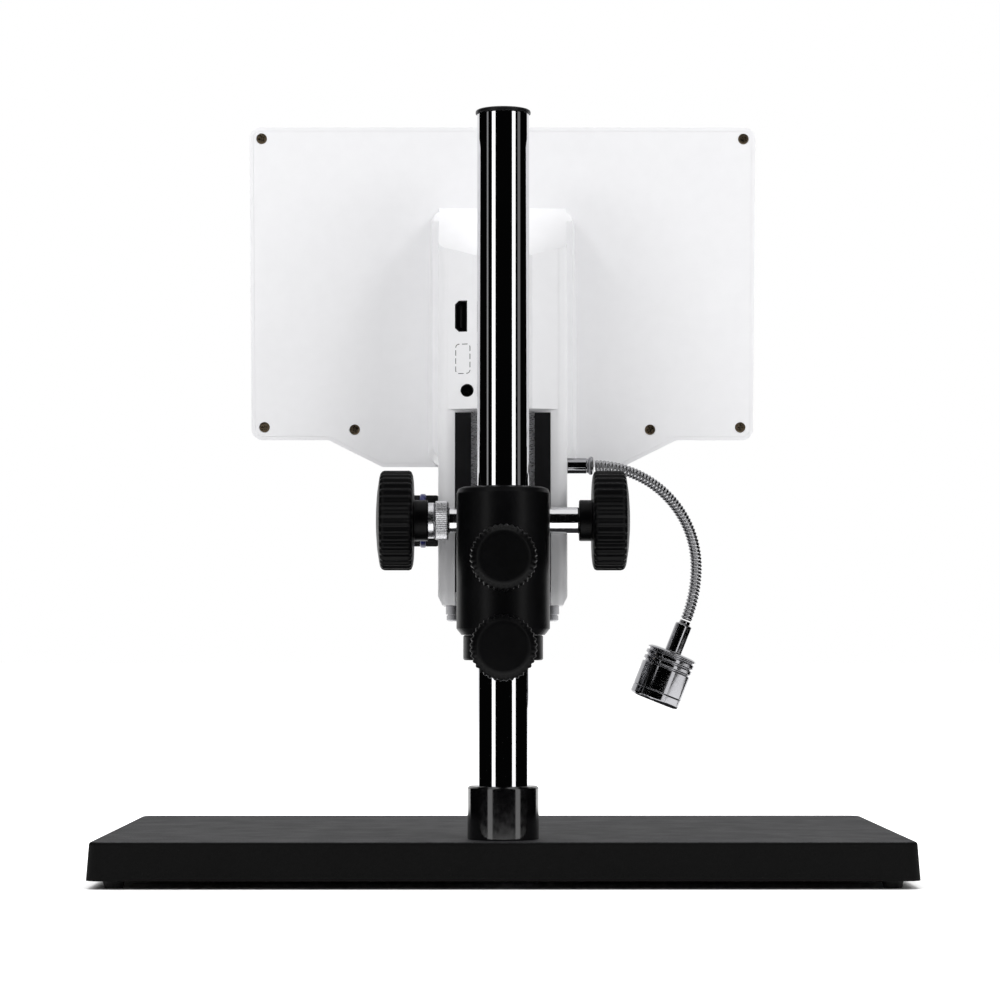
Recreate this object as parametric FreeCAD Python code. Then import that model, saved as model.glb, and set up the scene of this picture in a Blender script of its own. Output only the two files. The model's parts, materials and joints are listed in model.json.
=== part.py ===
import FreeCAD, Part
import math
import os

# Bench microscope with a screen on its head: base plate, chrome post, clamped arm with a
# rack and pinion focus, a moulded camera column behind a tilted screen, and a gooseneck lamp.
# Millimetres. Z is up, the floor is z = 0, and the origin is the centre of the base.
# The screen faces -Y and the post stands at the back. Right is +X, as the user sees it.

V = FreeCAD.Vector

# Clearances
RUN_GAP = 0.05          # radial gap of shafts, bushes and sliding collars
SLIDE_GAP = 0.30        # between the moving head and the arm
FACE_GAP = 0.10         # between end faces that turn past each other
SEAT_GAP = 0.05         # between a casing and the part that it locates
HOLE_GAP = 0.20         # round a part that shows through a cover

# Base
BASE_WIDTH = 390.0
BASE_DEPTH = 236.0
BASE_BOTTOM = 4.0
BASE_HEIGHT = 18.0
BASE_DRAFT = 1.2
BASE_CORNER = 7.5
BASE_EDGE = 1.6
BASE_WALL = 6.0
BASE_PLATE = 6.0
FOOT_INSET_X = 12.0
FOOT_INSET_Y = 15.0
FOOT_TOP_DIAMETER = 10.7
FOOT_FLOOR_DIAMETER = 8.6
FOOT_BOSS_RADIUS = 8.0
FOOT_SCREW_RADIUS = 1.5
FOOT_SCREW_HEAD = 2.6
FOOT_SCREW_LENGTH = 9.0

# Post
POST_INSET = 28.0       # post axis to the rear edge of the base
POST_DIAMETER = 25.0
POST_WALL = 2.5
POST_LENGTH = 346.0
SOCKET_DIAMETER = 34.0
SOCKET_HEIGHT = 25.2
PLUG_LENGTH = 30.0
BOLT_RADIUS = 4.0
BOLT_HEAD_RADIUS = 6.5
BOLT_HEAD_HEIGHT = 4.5
BOLT_GRIP = 18.0
BOLT_FLANGE_RADIUS = 11.0
BOLT_FLANGE_THICKNESS = 2.0
POST_BOSS_RADIUS = 22.0
POST_BOSS_DROP = 5.0
CAP_DIAMETER = 26.4
CAP_LIP = 1.9
CAP_DOME = 0.6
CAP_PLUG_LENGTH = 9.0

# Stop collar and clamp knobs
COLLAR_RISE = 84.6      # bottom of the stop collar above the base
COLLAR_HEIGHT = 12.0
COLLAR_DIAMETER = 38.0
KNOB_DIAMETER = 31.5
KNOB_FACE_DIAMETER = 24.0
KNOB_THICKNESS = 14.0
KNOB_STEM = 8.0
KNOB_STEM_DIAMETER = 11.0
KNOB_FLUTES = 36
KNOB_FLUTE_DEPTH = 0.7
STUD_RADIUS = 4.0
ARM_KNOB_RISE = 35.8    # above the bottom of the arm's boss

# Arm
ARM_HEIGHT = 70.4
ARM_DIAMETER = 44.5
ARM_TOP_ROUND = 3.0
ARM_BLOCK_WIDTH = 44.4
ARM_BLOCK_BOTTOM_RISE = 18.0
ARM_BLOCK_TOP_DROP = 2.6

# Slide, rack and pinion
PLATE_WIDTH = 46.6
PLATE_LENGTH = 88.0
PLATE_THICKNESS = 3.0
PLATE_RISE = 21.1       # bottom of the slide plate above the bottom of the arm's boss
PLATE_REACH = 43.0      # post axis to the plate's seat on the column
DOVETAIL_WIDTH = 31.0
DOVETAIL_DEPTH = 7.5
DOVETAIL_ANGLE = 30.0
GEAR_MODULE = 1.0
PINION_TEETH = 12
PINION_WIDTH = 8.0
PRESSURE_ANGLE = 20.0
RACK_ADDENDUM = 0.65
PINION_DEDENDUM = 1.1
RACK_DEDENDUM = 1.25
BACKLASH = 0.12
RACK_WIDTH = 9.0
RACK_BACK = 3.0
PINION_AXIS_OFFSET = 12.0   # behind the rear face of the plate
SHAFT_RISE = 55.6           # pinion axis above the bottom of the arm's boss
SHAFT_RADIUS = 4.0
BUSH_RADIUS = 6.5
BUSH_INNER_X = 16.6
LEFT_BUSH_END = 36.9
RIGHT_BUSH_END = 26.3
RIGHT_SPIGOT_RADIUS = 5.5
TENSION_WIDTH = 6.6
TENSION_DIAMETER = 19.0
TENSION_FLUTES = 40
SHAFT_COLLAR_DIAMETER = 17.3
SHAFT_COLLAR_WIDTH = 3.2
WHEEL_DIAMETER = 48.5
WHEEL_INNER_X = 44.2
WHEEL_RIM = 15.4
WHEEL_DOME = 2.0
WHEEL_FLUTES = 36
WHEEL_FLUTE_DEPTH = 0.9
WHEEL_HUB_RADIUS = 10.0

# Camera column and the hump behind the screen
COLUMN_WIDTH = 63.5
COLUMN_DROP = 6.4       # column's bottom below the plate's bottom
COLUMN_DEPTH = 61.0
COLUMN_SEAT_SINK = 2.0  # the plate's seat below the column's rear face
COLUMN_REAR_ROUND = 5.0
COLUMN_FRONT_ROUND = 8.0
COLUMN_CHAMFER_X = 2.2
COLUMN_CHAMFER_Z = 4.4
SHELL_WALL = 3.0
RIDGE_HEIGHT = 4.5
RIDGE_HALF = 14.5
RIDGE_FOOT_HALF = 27.0
RIDGE_LENGTH = 75.6
RIDGE_FOOT_GAP = 1.7    # between the plate's top and the ridge
HUMP_ABOVE_RIDGE = 27.5
HUMP_HALF = 37.3
HUMP_REAR_HALF = 34.8
HUMP_SHOULDER = 19.0    # hump's rear outline in front of the column's rear face
HUMP_ROUND = 8.0

# Screen head, in its own tilted plane: across, behind (+) or in front (-), and up
TILT = 8.0
HEAD_REACH = 34.0       # column's rear face to the casing's rear, level with its middle
HEAD_RISE = 62.2        # casing's middle above the plate's top
HEAD_HALF = 126.5
HEAD_UP = 83.3
HEAD_DOWN = -73.5
TONGUE_DOWN = -87.1
TONGUE_HALF = 60.5
TONGUE_ROOT_HALF = 87.7
HEAD_THICKNESS = 20.0
HEAD_ROUND = 5.7
TONGUE_ROUND = 4.0
SEAM_INSET = 1.85
COVER_THICKNESS = 2.5
FRAME_WALL = 3.6
FRAME_FRONT = 2.0
WINDOW_HALF = 109.5
WINDOW_DOWN = -62.0
WINDOW_UP = 74.0
GLASS_THICKNESS = 1.0
GLASS_MARGIN = 2.2
PANEL_HALF = 115.0
PANEL_DOWN = -68.5
PANEL_UP = 78.5
PANEL_THICKNESS = 5.0
SCREW_HEAD_RADIUS = 2.55
SCREW_HEAD_HEIGHT = 1.6
SCREW_SINK = 0.3
SCREW_SHANK_RADIUS = 1.3
SCREW_LENGTH = 8.0
SCREW_BOSS_RADIUS = 3.6
SCREW_SPOTS = (
    (120.5, 77.6),
    (120.0, -67.0),
    (74.5, -68.2),
)

# Buttons under the screen
BUTTON_COUNT = 5
BUTTON_PITCH = 18.0
BUTTON_RADIUS = 3.5
BUTTON_HEIGHT = 1.0
BUTTON_TRAVEL = 1.2
BUTTON_UP = -78.8
BUTTON_FLANGE = 0.9
BUTTON_STEM_RADIUS = 1.6
BUTTON_STEM_LENGTH = 1.65
BOARD_THICKNESS = 1.6
SWITCH_SIZE = 4.5
SWITCH_HEIGHT = 1.2

# Sockets behind the ridge
HDMI_X = 20.5
HDMI_RISE = 45.6        # above the ridge's lower edge
HDMI_WIDTH = 5.6
HDMI_HEIGHT = 15.0
HDMI_CHAMFER = 1.9
HDMI_WALL = 0.4
HDMI_DEPTH = 10.5
HDMI_TONGUE = 0.9
HDMI_SINK = 3.4         # mouth below the ridge's flat
JACK_X = 17.5
JACK_RISE = 9.0
JACK_RADIUS = 3.0
JACK_BODY_RADIUS = 4.2
JACK_DEPTH = 12.0
JACK_PIN_RADIUS = 0.8
JACK_SINK = 1.6
IO_BOARD_SINK = 17.5
IO_BOARD_HALF = 25.0
IO_BOARD_RISE = 2.6
IO_BOARD_HEIGHT = 65.0

# Lens
LENS_INSET = 30.0       # lens axis in front of the column's rear face
LENS_RING_DIAMETER = 56.5
LENS_RING_HEIGHT = 7.6
LENS_LIP_HEIGHT = 2.9
LENS_GROOVE = 0.5
BARREL_RADIUS = 23.0
BARREL_WALL = 4.0
BARREL_LENGTH = 61.4
LENS_MOUTH_RADIUS = 17.0
LENS_GLASS_THICKNESS = 3.0
SENSOR_BOARD = 38.0

# Dial on the right side of the column
DIAL_FORWARD = 5.0      # in front of the lens axis
DIAL_RISE = 42.7        # above the column's bottom
DIAL_DIAMETER = 25.7
DIAL_WIDTH = 15.4
DIAL_BAND_DIAMETER = 27.0
DIAL_BAND_WIDTH = 3.0
DIAL_BAND_OFFSET = 6.2
DIAL_SHAFT_RADIUS = 3.0
DIAL_FLUTES = 40
CLIP_RADIUS = 5.0
CLIP_THICKNESS = 1.2

# Lamp on the left side of the column
LAMP_BACK = 9.0         # behind the lens axis
LAMP_RISE = 69.4        # above the column's bottom
FERRULE_DIAMETER = 8.0
FERRULE_LENGTH = 14.25      # from the column's side to the first bend
FERRULE_STUB_RADIUS = 3.0
FERRULE_ROOT_CHAMFER = 0.9
NECK_RADIUS = 3.0
NECK_GROOVE = 0.45
NECK_BORE_RADIUS = 1.4
NECK_BEND_RADIUS = 50.0
NECK_LAST_RADIUS = 71.0
NECK_LAST_ANGLE = 21.8
NECK_LINKS = 4
NECK_RIBS_PER_LINK = 14
BALL_GAP = 0.10
SLEEVE_DIAMETER = 8.5
SLEEVE_START = 2.5
SLEEVE_LENGTH = 14.7
LAMP_DIAMETER = 25.2
LAMP_LENGTH = 26.2
LAMP_GROOVE_PITCH = 3.05
LAMP_GROOVE_DEPTH = 1.0
LAMP_WALL = 2.0
LAMP_BEZEL = 5.2
LAMP_MOUTH_RADIUS = 9.5

# Places worked out from the sizes above
KNOB_OVERHANG = ARM_DIAMETER / 2 + KNOB_STEM + KNOB_THICKNESS - POST_INSET
BASE_Y = -max(KNOB_OVERHANG, 0.0) / 2
BASE_TOP = BASE_BOTTOM + BASE_HEIGHT
POST_Y = BASE_Y + BASE_DEPTH / 2 - POST_INSET
POST_RADIUS = POST_DIAMETER / 2
POST_TOP = BASE_TOP + POST_LENGTH
COLLAR_BOTTOM = BASE_TOP + COLLAR_RISE
COLLAR_TOP = COLLAR_BOTTOM + COLLAR_HEIGHT
ARM_BOTTOM = COLLAR_TOP
ARM_TOP = ARM_BOTTOM + ARM_HEIGHT
SHAFT_Z = ARM_BOTTOM + SHAFT_RISE
PLATE_SEAT_Y = POST_Y - PLATE_REACH
PLATE_REAR_Y = PLATE_SEAT_Y + PLATE_THICKNESS
PLATE_BOTTOM = ARM_BOTTOM + PLATE_RISE
PLATE_TOP = PLATE_BOTTOM + PLATE_LENGTH
DOVETAIL_REAR_Y = PLATE_REAR_Y + DOVETAIL_DEPTH
SHAFT_Y = PLATE_REAR_Y + PINION_AXIS_OFFSET
PITCH_RADIUS = GEAR_MODULE * PINION_TEETH / 2
RACK_PITCH_Y = SHAFT_Y - PITCH_RADIUS
COLUMN_HALF = COLUMN_WIDTH / 2
COLUMN_BOTTOM = PLATE_BOTTOM - COLUMN_DROP
COLUMN_REAR_Y = PLATE_SEAT_Y + COLUMN_SEAT_SINK
COLUMN_FRONT_Y = COLUMN_REAR_Y - COLUMN_DEPTH
RIDGE_BOTTOM = PLATE_TOP + RIDGE_FOOT_GAP
RIDGE_TOP = RIDGE_BOTTOM + RIDGE_LENGTH
RIDGE_Y = COLUMN_REAR_Y + RIDGE_HEIGHT
HUMP_TOP = RIDGE_TOP + HUMP_ABOVE_RIDGE
HUMP_REAR_Y = COLUMN_REAR_Y - HUMP_SHOULDER
HEAD_Y = COLUMN_REAR_Y - HEAD_REACH
HEAD_Z = PLATE_TOP + HEAD_RISE
HDMI_Z = RIDGE_BOTTOM + HDMI_RISE
HDMI_MOUTH_Y = RIDGE_Y - HDMI_SINK
JACK_Z = RIDGE_BOTTOM + JACK_RISE
JACK_MOUTH_Y = RIDGE_Y - JACK_SINK
IO_BOARD_Y = RIDGE_Y - IO_BOARD_SINK
IO_BOARD_BOTTOM = RIDGE_BOTTOM + IO_BOARD_RISE
IO_BOARD_TOP = IO_BOARD_BOTTOM + IO_BOARD_HEIGHT
LENS_Y = COLUMN_REAR_Y - LENS_INSET
BARREL_TOP = COLUMN_BOTTOM - LENS_RING_HEIGHT + LENS_LIP_HEIGHT + BARREL_LENGTH
DIAL_Y = LENS_Y - DIAL_FORWARD
DIAL_Z = COLUMN_BOTTOM + DIAL_RISE
LAMP_Y = LENS_Y + LAMP_BACK
LAMP_Z = COLUMN_BOTTOM + LAMP_RISE
HEAD_FRAME = FreeCAD.Placement(V(0, HEAD_Y, HEAD_Z), FreeCAD.Rotation(V(1, 0, 0), -TILT))
BAR = 1000.0            # longer than anything here, for cutting tools
BURIED = 25.0           # how far the hump is drawn into the casing before it is trimmed


# Shared shapes

def box(x0, x1, y0, y1, z0, z1):
    return Part.makeBox(x1 - x0, y1 - y0, z1 - z0, V(x0, y0, z0))


def rod(radius, start, end):
    """A round bar from one point to another."""
    line = end - start
    return Part.makeCylinder(radius, line.Length, start, line)


def placed(shape, place):
    shape.Placement = place.multiply(shape.Placement)
    return shape


def facing(centre, direction):
    """The placement that turns +Z to a direction and moves the origin to a centre."""
    return FreeCAD.Placement(centre, FreeCAD.Rotation(V(0, 0, 1), direction))


def turned(profile, centre, direction):
    """A solid turned from (radius, height) points; a step of four numbers is an arc by a point."""
    first = V(profile[0][0], 0, profile[0][1])
    here = first
    edges = []
    for step in profile[1:]:
        there = V(step[-2], 0, step[-1])
        if len(step) == 4:
            edges.append(Part.Arc(here, V(step[0], 0, step[1]), there).toShape())
        else:
            edges.append(Part.makeLine(here, there))
        here = there
    edges.append(Part.makeLine(here, first))
    solid = Part.Face(Part.Wire(edges)).revolve(V(0, 0, 0), V(0, 0, 1), 360)
    return placed(solid, facing(centre, direction))


def dome(rim_radius, rim_height, top_height):
    """Points of a turned profile that close it with a low crown of three cones."""
    rise = top_height - rim_height
    ball = (rim_radius ** 2 + rise ** 2) / (2 * rise)
    centre = top_height - ball
    points = []
    for share in (0.72, 0.38):
        radius = rim_radius * share
        points.append((radius, centre + math.copysign(math.sqrt(ball ** 2 - radius ** 2), ball)))
    points.append((0, top_height))
    return points


def rounded_wire(corners, lift):
    """A closed wire through (u, v, radius) corners; lift turns u and v into a point."""
    runs = []
    count = len(corners)
    for i in range(count):
        u, v, radius = corners[i]
        here = V(u, v, 0)
        back = (V(corners[i - 1][0], corners[i - 1][1], 0) - here).normalize()
        ahead = (V(corners[(i + 1) % count][0], corners[(i + 1) % count][1], 0) - here).normalize()
        if radius == 0:
            runs.append((here, None, here))
            continue
        half = back.getAngle(ahead) / 2
        reach = radius / math.tan(half)
        inward = (back + ahead).normalize()
        middle = here + inward * (radius / math.sin(half) - radius)
        runs.append((here + back * reach, middle, here + ahead * reach))
    edges = []
    for i in range(count):
        start, middle, end = runs[i]
        if middle is not None:
            arc = Part.Arc(lift(start), lift(middle), lift(end))
            edges.append(arc.toShape())
        following = runs[(i + 1) % count][0]
        if (following - end).Length > 1e-6:
            edges.append(Part.makeLine(lift(end), lift(following)))
    return Part.Wire(edges)


def upright(corners, z0, z1):
    """A prism on an outline seen from above."""
    wire = rounded_wire(corners, lambda p: V(p.x, p.y, z0))
    return Part.Face(wire).extrude(V(0, 0, z1 - z0))


def level(corners, y0, y1):
    """A prism on an outline of x and z, from one y to another."""
    wire = rounded_wire(corners, lambda p: V(p.x, y0, p.y))
    return Part.Face(wire).extrude(V(0, y1 - y0, 0))


def rectangle(half_x, low, high, radius=0):
    return (
        (-half_x, low, radius),
        (half_x, low, radius),
        (half_x, high, radius),
        (-half_x, high, radius),
    )


def fluted(sections, count):
    """A bar along +Z with a fluted rim, through (radius, depth of the flutes, height) sections."""
    wires = []
    for radius, depth, height in sections:
        points = []
        for i in range(2 * count):
            angle = math.pi * i / count
            reach = radius - depth * (i % 2)
            points.append(V(reach * math.cos(angle), reach * math.sin(angle), height))
        wires.append(Part.makePolygon(points + [points[0]]))
    return Part.makeLoft(wires, True, True)


def edges_at(solid, chosen):
    """The edges whose every end and middle point passes a test."""
    found = []
    for edge in solid.Edges:
        middle = edge.valueAt((edge.FirstParameter + edge.LastParameter) / 2)
        if chosen(middle) and all(chosen(vertex.Point) for vertex in edge.Vertexes):
            found.append(edge)
    return found


def near(a, b):
    return abs(a - b) < 1e-4


def one(shape):
    """The single solid of a boolean's result."""
    clean = shape.removeSplitter()
    if len(clean.Solids) == 1:
        return clean.Solids[0]
    return clean


# Base and post

def base_section(z, inset):
    draft = BASE_DRAFT * (z - BASE_BOTTOM) / (BASE_TOP - BASE_BOTTOM)
    half_x = BASE_WIDTH / 2 - draft - inset
    half_y = BASE_DEPTH / 2 - draft - inset
    corners = rectangle(half_x, BASE_Y - half_y, BASE_Y + half_y, max(BASE_CORNER - inset, 2.0))
    return rounded_wire(corners, lambda p: V(p.x, p.y, z))


def foot_spots():
    for side in (-1, 1):
        for end in (-1, 1):
            yield (side * (BASE_WIDTH / 2 - FOOT_INSET_X), BASE_Y + end * (BASE_DEPTH / 2 - FOOT_INSET_Y))


def base_casting():
    """The heavy plate, open underneath, with bosses for the feet and the post."""
    body = Part.makeLoft([base_section(BASE_BOTTOM, 0), base_section(BASE_TOP, 0)], True, True)
    rim = edges_at(body, lambda p: near(p.z, BASE_TOP))
    body = body.makeFillet(BASE_EDGE, rim)
    ceiling = BASE_TOP - BASE_PLATE
    hollow = Part.makeLoft(
        [base_section(BASE_BOTTOM, BASE_WALL), base_section(ceiling, BASE_WALL)], True, True)
    hollow = hollow.cut(
        rod(POST_BOSS_RADIUS, V(0, POST_Y, ceiling - POST_BOSS_DROP), V(0, POST_Y, ceiling)))
    for x, y in foot_spots():
        hollow = hollow.cut(rod(FOOT_BOSS_RADIUS, V(x, y, BASE_BOTTOM), V(x, y, ceiling)))
    body = body.cut(hollow)
    for x, y in foot_spots():
        pilot = rod(FOOT_SCREW_RADIUS + RUN_GAP, V(x, y, BASE_BOTTOM), V(x, y, ceiling))
        body = body.cut(pilot)
    body = body.cut(rod(BOLT_RADIUS + HOLE_GAP, V(0, POST_Y, 0), V(0, POST_Y, BASE_TOP)))
    return one(body)


def feet():
    shapes = []
    for x, y in foot_spots():
        outline = [
            (FOOT_SCREW_RADIUS + RUN_GAP, BASE_BOTTOM),
            (FOOT_TOP_DIAMETER / 2, BASE_BOTTOM),
            (FOOT_FLOOR_DIAMETER / 2, 0),
            (FOOT_SCREW_HEAD + RUN_GAP, 0),
            (FOOT_SCREW_HEAD + RUN_GAP, BASE_BOTTOM / 2),
            (FOOT_SCREW_RADIUS + RUN_GAP, BASE_BOTTOM / 2),
        ]
        shapes.append(turned(outline, V(x, y, 0), V(0, 0, 1)))
    return Part.makeCompound(shapes)


def foot_screws():
    shapes = []
    head_bottom = BASE_BOTTOM / 2 - 1.4
    for x, y in foot_spots():
        outline = [
            (0, head_bottom),
            (FOOT_SCREW_HEAD - 0.5, head_bottom),
            (FOOT_SCREW_HEAD, head_bottom + 0.6),
            (FOOT_SCREW_HEAD, BASE_BOTTOM / 2),
            (FOOT_SCREW_RADIUS, BASE_BOTTOM / 2),
            (FOOT_SCREW_RADIUS, BASE_BOTTOM / 2 + FOOT_SCREW_LENGTH),
            (0, BASE_BOTTOM / 2 + FOOT_SCREW_LENGTH),
        ]
        shapes.append(turned(outline, V(x, y, 0), V(0, 0, 1)))
    return Part.makeCompound(shapes)


def post_socket():
    bore = POST_RADIUS + RUN_GAP
    radius = SOCKET_DIAMETER / 2
    top = BASE_TOP + SOCKET_HEIGHT
    return turned([
        (bore, BASE_TOP),
        (radius, BASE_TOP),
        (radius, top - 1.0),
        (radius - 1.0, top),
        (bore, top),
    ], V(0, POST_Y, 0), V(0, 0, 1))


def post_tube():
    inner = POST_RADIUS - POST_WALL
    return turned([
        (inner, BASE_TOP),
        (POST_RADIUS - 0.5, BASE_TOP),
        (POST_RADIUS, BASE_TOP + 0.5),
        (POST_RADIUS, POST_TOP),
        (inner, POST_TOP),
    ], V(0, POST_Y, 0), V(0, 0, 1))


def post_plug():
    radius = POST_RADIUS - POST_WALL - RUN_GAP
    bore = BOLT_RADIUS + RUN_GAP
    top = BASE_TOP + PLUG_LENGTH
    return turned([
        (bore, BASE_TOP),
        (radius, BASE_TOP),
        (radius, top - 1.0),
        (radius - 1.0, top),
        (bore, top),
    ], V(0, POST_Y, 0), V(0, 0, 1))


def boss_bottom():
    return BASE_TOP - BASE_PLATE - POST_BOSS_DROP


def post_bolt():
    """A flanged hexagon bolt from under the base into the post's plug."""
    top = boss_bottom() - BOLT_FLANGE_THICKNESS
    corners = []
    for i in range(6):
        angle = math.radians(60 * i)
        reach = BOLT_HEAD_RADIUS / math.cos(math.radians(30))
        corners.append((reach * math.cos(angle), POST_Y + reach * math.sin(angle), 0))
    head = upright(corners, top - BOLT_HEAD_HEIGHT, top)
    flange = rod(BOLT_FLANGE_RADIUS, V(0, POST_Y, top), V(0, POST_Y, boss_bottom()))
    shank = rod(BOLT_RADIUS, V(0, POST_Y, top), V(0, POST_Y, BASE_TOP + BOLT_GRIP))
    return one(head.fuse(flange).fuse(shank))


def post_cap():
    plug = POST_RADIUS - POST_WALL - RUN_GAP
    radius = CAP_DIAMETER / 2
    lip_top = POST_TOP + CAP_LIP
    return turned([
        (0, POST_TOP - CAP_PLUG_LENGTH),
        (plug - 0.8, POST_TOP - CAP_PLUG_LENGTH),
        (plug, POST_TOP - CAP_PLUG_LENGTH + 0.8),
        (plug, POST_TOP),
        (radius, POST_TOP),
        (radius, lip_top - 0.8),
        (radius - 0.8, lip_top),
        *dome(radius - 0.8, lip_top, lip_top + CAP_DOME),
    ], V(0, POST_Y, 0), V(0, 0, 1))


# Stop collar, its knob and the arm's knob

def stud_hole(z):
    return rod(STUD_RADIUS + RUN_GAP, V(0, POST_Y, z), V(0, POST_Y + BAR, z))


def collar_z():
    return COLLAR_BOTTOM + COLLAR_HEIGHT / 2


def stop_collar():
    bore = POST_RADIUS + RUN_GAP
    radius = COLLAR_DIAMETER / 2
    top = COLLAR_TOP - FACE_GAP
    ring = turned([
        (bore, COLLAR_BOTTOM),
        (radius - 0.6, COLLAR_BOTTOM),
        (radius, COLLAR_BOTTOM + 0.6),
        (radius, top - 0.6),
        (radius - 0.6, top),
        (bore, top),
    ], V(0, POST_Y, 0), V(0, 0, 1))
    return one(ring.cut(stud_hole(collar_z())))


def clamp_knob(boss_radius, z):
    """A fluted knob on a stem, bored for its stud."""
    rim = KNOB_DIAMETER / 2
    face = KNOB_FACE_DIAMETER / 2
    back = KNOB_STEM
    front = back + KNOB_THICKNESS
    head = fluted((
        (rim - 1.2, 0, back),
        (rim, KNOB_FLUTE_DEPTH, back + 1.2),
        (rim, KNOB_FLUTE_DEPTH, front - 4.0),
        ((rim + face) / 2 + 1.0, 0, front - 1.4),
        (face, 0, front),
    ), KNOB_FLUTES)
    centre = V(0, POST_Y + boss_radius, z)
    knob = placed(head, facing(centre, V(0, 1, 0)))
    knob = knob.fuse(rod(KNOB_STEM_DIAMETER / 2, centre + V(0, FACE_GAP, 0), centre + V(0, back + 1.0, 0)))
    knob = knob.cut(rod(STUD_RADIUS + SEAT_GAP, centre, centre + V(0, front - 4.0, 0)))
    return one(knob)


def clamp_stud(boss_radius, z):
    start = POST_Y + POST_RADIUS + FACE_GAP
    end = POST_Y + boss_radius + KNOB_STEM + KNOB_THICKNESS - 4.0
    return rod(STUD_RADIUS, V(0, start, z), V(0, end, z))


# Arm with its dovetail groove, bushes and pinion pocket

def dovetail_section(grow, rear):
    """The slide's flared section, seen from above, wider by grow on each flank."""
    root = PLATE_REAR_Y
    slope = math.tan(math.radians(DOVETAIL_ANGLE))
    wide = DOVETAIL_WIDTH / 2 + grow + (rear - DOVETAIL_REAR_Y) * slope
    narrow = wide - (rear - root) * slope
    return ((-narrow, root, 0), (narrow, root, 0), (wide, rear, 0), (-wide, rear, 0))


def focus_arm():
    radius = ARM_DIAMETER / 2
    front = PLATE_REAR_Y + SLIDE_GAP
    low = ARM_BOTTOM + ARM_BLOCK_BOTTOM_RISE
    high = ARM_TOP - ARM_BLOCK_TOP_DROP
    boss = turned([
        (0, ARM_BOTTOM),
        (radius - 2.4, ARM_BOTTOM),
        (radius, ARM_BOTTOM + 3.0),
        (radius, ARM_TOP - ARM_TOP_ROUND),
        (radius - 0.88, ARM_TOP - 0.88),
        (radius - ARM_TOP_ROUND, ARM_TOP),
        (0, ARM_TOP),
    ], V(0, POST_Y, 0), V(0, 0, 1))
    half = ARM_BLOCK_WIDTH / 2
    block = upright((
        (-half, front, 2.0),
        (half, front, 2.0),
        (half, POST_Y, 0),
        (-half, POST_Y, 0),
    ), low, high)
    block = block.makeChamfer(1.2, edges_at(block, lambda p: near(p.z, high) and p.y < POST_Y - 1))
    gusset = Part.Face(Part.makePolygon([
        V(-half + 6, front + 4, low),
        V(-half + 6, POST_Y, low),
        V(-half + 6, POST_Y, ARM_BOTTOM + 4),
        V(-half + 6, front + 4, low),
    ])).extrude(V(ARM_BLOCK_WIDTH - 12, 0, 0))
    arm = boss.fuse(block).fuse(gusset)
    arm = arm.cut(rod(POST_RADIUS + RUN_GAP, V(0, POST_Y, 0), V(0, POST_Y, BAR)))
    groove = upright(dovetail_section(RUN_GAP, DOVETAIL_REAR_Y + SLIDE_GAP), 0, BAR)
    mouth = box(-DOVETAIL_WIDTH / 2 + 3.0, DOVETAIL_WIDTH / 2 - 3.0, 0, front, 0, BAR)
    arm = arm.cut(groove).cut(mouth)
    tip = PITCH_RADIUS + GEAR_MODULE
    pocket_half = PINION_WIDTH / 2 + 0.6
    arm = arm.cut(rod(tip + 0.4, V(-pocket_half, SHAFT_Y, SHAFT_Z), V(pocket_half, SHAFT_Y, SHAFT_Z)))
    arm = arm.cut(rod(SHAFT_RADIUS + RUN_GAP, V(-half, SHAFT_Y, SHAFT_Z), V(half, SHAFT_Y, SHAFT_Z)))
    for side in (-1, 1):
        arm = arm.cut(rod(
            BUSH_RADIUS + SEAT_GAP,
            V(side * BUSH_INNER_X, SHAFT_Y, SHAFT_Z),
            V(side * (half + 1), SHAFT_Y, SHAFT_Z)))
    arm = arm.cut(stud_hole(ARM_BOTTOM + ARM_KNOB_RISE))
    return one(arm)


def shaft_end(x):
    return V(x, SHAFT_Y, SHAFT_Z)


def left_bush():
    sleeve = rod(BUSH_RADIUS, shaft_end(-BUSH_INNER_X), shaft_end(-LEFT_BUSH_END))
    bore = rod(SHAFT_RADIUS + RUN_GAP, shaft_end(-BUSH_INNER_X), shaft_end(-LEFT_BUSH_END))
    return one(sleeve.cut(bore))


def right_bush():
    end = RIGHT_BUSH_END + TENSION_WIDTH + 2 * FACE_GAP
    sleeve = rod(BUSH_RADIUS, shaft_end(BUSH_INNER_X), shaft_end(RIGHT_BUSH_END))
    spigot = rod(RIGHT_SPIGOT_RADIUS, shaft_end(BUSH_INNER_X), shaft_end(end))
    bore = rod(SHAFT_RADIUS + RUN_GAP, shaft_end(BUSH_INNER_X), shaft_end(end))
    return one(sleeve.fuse(spigot).cut(bore))


def tension_ring():
    start = RIGHT_BUSH_END + FACE_GAP
    radius = TENSION_DIAMETER / 2
    ring = fluted((
        (radius - 0.5, 0, 0),
        (radius, 0.3, 0.5),
        (radius, 0.3, TENSION_WIDTH - 0.5),
        (radius - 0.5, 0, TENSION_WIDTH),
    ), TENSION_FLUTES)
    ring = placed(ring, facing(shaft_end(start), V(1, 0, 0)))
    bore = rod(RIGHT_SPIGOT_RADIUS + RUN_GAP, shaft_end(start - 1), shaft_end(start + TENSION_WIDTH + 1))
    return one(ring.cut(bore))


# Focus shaft, pinion and hand wheels

def collar_start():
    return RIGHT_BUSH_END + TENSION_WIDTH + 3 * FACE_GAP


def wheel_start(side):
    if side > 0:
        return collar_start() + SHAFT_COLLAR_WIDTH
    return LEFT_BUSH_END + FACE_GAP


def shaft_reach():
    return WHEEL_INNER_X + WHEEL_RIM - 3.0


def pinion_shaft():
    return rod(SHAFT_RADIUS, shaft_end(-shaft_reach()), shaft_end(shaft_reach()))


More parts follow.
